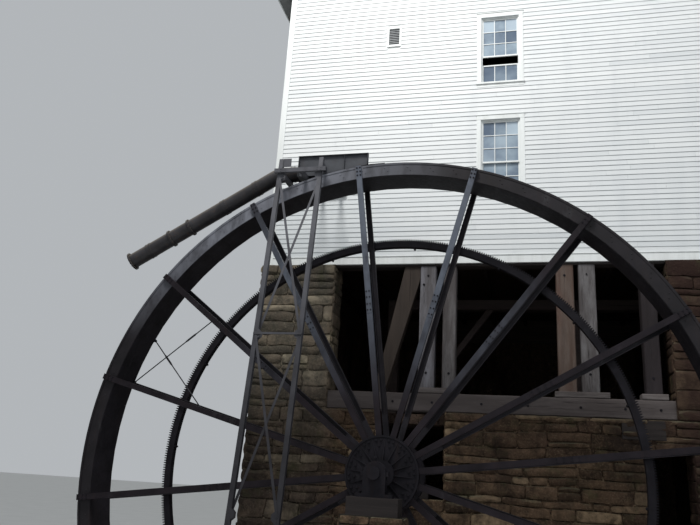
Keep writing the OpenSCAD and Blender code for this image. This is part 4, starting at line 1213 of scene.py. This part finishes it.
b = Build(101)
bo = Build(102)
paint(M["trestle"], "trestle_frame", "trestle_braces", "trestle_ties")
sl = math.atan(LEAN)
nf = Vector((0, -math.cos(sl), math.sin(sl)))      # front normal of the leaning plane
al = Vector((0, math.sin(sl), math.cos(sl)))
tiers = [5.900, 2.415, -0.820, -4.050, -6.470]
for k, z in enumerate(tiers):
    for s, x in ((1, LX0), (-1, LX1)):
        c = Vector((x, leg_y(z), z))
        for sg in (1, -1):
            n = nf * sg
            f = c + n * (LW / 2 + 0.0012)
            up, dn = (0.10, 0.10) if 0 < k < 4 else ((0.06, 0.12) if k == 0 else (0.12, 0.05))
            pts = [f - Vector((s * 0.043, 0, 0)) - al * dn, f + Vector((s * 0.045, 0, 0)) - al * dn,
                   f + Vector((s * 0.105, 0, 0)) - al * dn * 0.45, f + Vector((s * 0.105, 0, 0)) + al * up * 0.45,
                   f + Vector((s * 0.045, 0, 0)) + al * up, f - Vector((s * 0.043, 0, 0)) + al * up]
            b.poly(pts, n * 0.0006 + n * 0.0, 0.5) if False else b.poly([p - n * 0.0005 for p in pts], n * 0.0012, 0.5)
            for t in (-0.065, -0.02, 0.025, 0.07):
                if -dn + 0.02 < t < up - 0.02:
                    bo.rivet(f + al * t + n * 0.001, n, 0.012)
b.obj("trestle_gussets", "structure", M["trestle"], "blue_grey_steel")
for s, x in ((1, LX0), (-1, LX1)):
    for dx in (-0.095, 0.095):
        for dy in (-0.095, 0.095):
            bo.bolt((x + dx, -1.895 + dy, -6.58), (0, 0, 1), 0.014, 0.03)
for x in (-2.46, -2.38, -1.58, -1.50):
    for z in (5.962, 6.008):
        bo.rivet((x, -0.4005, z), (0, -1, 0), 0.011)
for x in (-2.53, -2.20, -1.87):
    bo.bolt((x, WY - 0.1005, 6.795), (0, -1, 0), 0.012, 0.014)
bo.obj("trestle_rivets", "structure", M["trestle"], "blue_grey_steel", smooth=60)
# wedges between the ledger and the ties that come down on it
b = Build(119)
for x0, x1 in ((-2.465, -2.375), (-1.990, -1.910)):
    b.hexa([(x, y, z) for x in (x0, x1) for y, zt in ((WY - 0.095, 6.8555), (WY - 0.004, 6.8965)) for z in (6.8455, zt)], 0.5)
b.obj("tie_wedges", "structure", M["trestle"], "blue_grey_steel")

# ------------------------------------------------------------ penstock and flume
PA = math.radians(30.5)
BENDX, PZC, BR, PR, PYC = -2.5085, 6.215, 0.600, 0.165, 0.350
PX, PZZ = BENDX - BR * math.sin(PA), PZC - BR * (1 - math.cos(PA))
tdir = Vector((-math.cos(PA), 0, -math.sin(PA)))
e1 = Vector((0, 1, 0))
e2 = Vector((-math.sin(PA), 0, math.cos(PA)))
b = Build(111)


def band(b, c, t, a1, a2, r0, r1, w, seg=48):
    """A flat hoop round a pipe."""
    for i in range(seg):
        p = []
        for k in (i, i + 1):
            q = 2 * math.pi * k / seg
            d = math.cos(q) * a1 + math.sin(q) * a2
            for h in (-w / 2, w / 2):
                for r in (r0, r1):
                    p.append(tuple(c + t * h + d * r))
        b.hexa(p, 0.5)


for d in (0.42, 1.25, 3.20):
    c = Vector((PX, PYC, PZZ)) + tdir * d
    band(b, c, tdir, e1, e2, PR - 0.002, PR + 0.006, 0.12)
    for i in range(20):
        q = 2 * math.pi * (i + 0.5) / 20
        dd = math.cos(q) * e1 + math.sin(q) * e2
        for h in (-0.038, 0.038):
            b.rivet(c + tdir * h + dd * (PR + 0.005), dd, 0.011)
for d in (2.150, 2.650, 3.685):
    c = Vector((PX, PYC, PZZ)) + tdir * d
    for i in range(16):
        q = 2 * math.pi * (i + 0.5) / 16
        dd = math.cos(q) * e1 + math.sin(q) * e2
        for s in (-1, 1):
            bl = c + tdir * (s * (0.020 if d < 3 else 0.015)) + dd * (PR + 0.017)
            b.bolt(bl, tdir * s, 0.009, 0.012, washer=False)
# lap seam along the top of the sloping pipe
for q in (1.15,):
    dd = math.cos(q) * e1 + math.sin(q) * e2
    sd = tdir.cross(dd)
    for s0, s1 in ((0.06, 2.11), (2.19, 2.61), (2.69, 3.65)):
        c = Vector((PX, PYC, PZZ)) + tdir * ((s0 + s1) / 2) + dd * (PR + 0.001)
        b.obox(c, tdir * ((s1 - s0) / 2), sd * 0.035, dd * 0.004, 0.5)
        n_ = int((s1 - s0) / 0.075)
        for k in range(n_):
            p = Vector((PX, PYC, PZZ)) + tdir * (s0 + (s1 - s0) * (k + 0.5) / n_) + dd * (PR + 0.0045)
            b.rivet(p, dd, 0.010)
c = Vector((-2.35, PYC, PZC))
band(b, c, Vector((1, 0, 0)), e1, Vector((0, 0, 1)), PR - 0.002, PR + 0.006, 0.10)
for i in range(20):
    q = 2 * math.pi * (i + 0.5) / 20
    dd = math.cos(q) * e1 + math.sin(q) * Vector((0, 0, 1))
    for h in (-0.032, 0.032):
        b.rivet(c + Vector((h, 0, 0)) + dd * (PR + 0.005), dd, 0.011)
for i in range(12):
    q = 2 * math.pi * (i + 0.5) / 12
    dd = math.cos(q) * e1 + math.sin(q) * Vector((0, 0, 1))
    b.bolt(Vector((-2.2, PYC, PZC)) + dd * (PR + 0.027), (-1, 0, 0), 0.010, 0.014, washer=False)
b.obj("pipe_riveting", "structure", M["pipe"], "pipe_steel", smooth=50)
paint(M["pipe"], "penstock_pipe", "penstock_elbow")
paint(M["flume"], "flume")
b = Build(112)
ft = 6.480
for y, s in ((0.040, -1), (0.660, 1)):
    b.box((-2.15, min(y, y + s * 0.045), ft - 0.004), (-0.60, max(y, y + s * 0.045), ft + 0.004), 0.5)
    for x in (-2.13, -1.62, -1.12, -0.62):
        zb = 6.032 if x < -1.75 else 6.030 + (x + 1.75) * 0.1783
        b.box((x - 0.003, min(y, y + s * 0.040), zb), (x + 0.003, max(y, y + s * 0.040), ft - 0.004), 0.5)
        k = 0
        z = zb + 0.04
        while z < ft - 0.03:
            b.rivet((x + 0.018, y + s * 0.0005, z), (0, s, 0), 0.009)
            z += 0.075
b.obj("flume_angles", "structure", M["flume"], "blue_grey_steel")

# ---------------------------------------------------------------- stage and view
def stage_floor():
    me = bpy.data.meshes.new("floor")
    s = 260.0
    me.from_pydata([(-s, -s, 0), (s, -s, 0), (s, s, 0), (-s, s, 0)], [], [(0, 1, 2, 3)])
    m = Mat("stage_floor")
    f = m.noise(0.4, 3, 0.5)
    mat = m.done(m.ramp(f, [(0.3, (0.62, 0.62, 0.60)), (0.7, (0.66, 0.66, 0.64))]), 0.9, None, spec=0.2)
    me.materials.append(mat)
    o = bpy.data.objects.new("floor", me)
    bpy.context.scene.collection.objects.link(o)


stage_floor()


def camera():
    yaw, pitch, roll = math.radians(-14.532), math.radians(17.084), math.radians(3.538)
    fwd = Vector((math.sin(yaw) * math.cos(pitch), math.cos(yaw) * math.cos(pitch), math.sin(pitch)))
    right = Vector((math.cos(yaw), -math.sin(yaw), 0))
    up = right.cross(fwd)
    r2 = right * math.cos(roll) + up * math.sin(roll)
    u2 = -right * math.sin(roll) + up * math.cos(roll)
    cam = bpy.data.cameras.new("camera")
    cam.sensor_width = 36.0
    cam.sensor_fit = "HORIZONTAL"
    cam.lens = 36.0 * 700.74 / 700.0
    cam.clip_end = 600
    o = bpy.data.objects.new("camera", cam)
    bpy.context.scene.collection.objects.link(o)
    m = Matrix((r2, u2, -fwd)).transposed().to_4x4()
    m.translation = Vector(T((2.542, -13.108, -0.108)))
    o.matrix_world = m
    bpy.context.scene.camera = o


camera()


def area(name, loc, target, size, power, color=(1, 1, 1)):
    l = bpy.data.lights.new(name, "AREA")
    l.shape = "SQUARE"
    l.size = size
    l.energy = power
    l.color = color
    o = bpy.data.objects.new(name, l)
    bpy.context.scene.collection.objects.link(o)
    o.location = T(loc)
    d = Vector(T(target)) - Vector(T(loc))
    o.rotation_euler = d.to_track_quat("-Z", "Y").to_euler()
    return o


area("key", (-3, -8, 22), (2.0, 2.9, 9.5), 5, 3600, (1.0, 0.985, 0.96))
area("fill", (14, -16, 14), (2, 3, 4), 12, 900, (0.93, 0.96, 1.0))
world = bpy.data.worlds.new("studio")
bpy.context.scene.world = world
world.use_nodes = True
bg = world.node_tree.nodes["Background"]
bg.inputs["Color"].default_value = (0.86, 0.90, 0.94, 1)
bg.inputs["Strength"].default_value = 0.52
bpy.context.scene.view_settings.view_transform = "Standard"
bpy.context.scene.view_settings.look = "None"
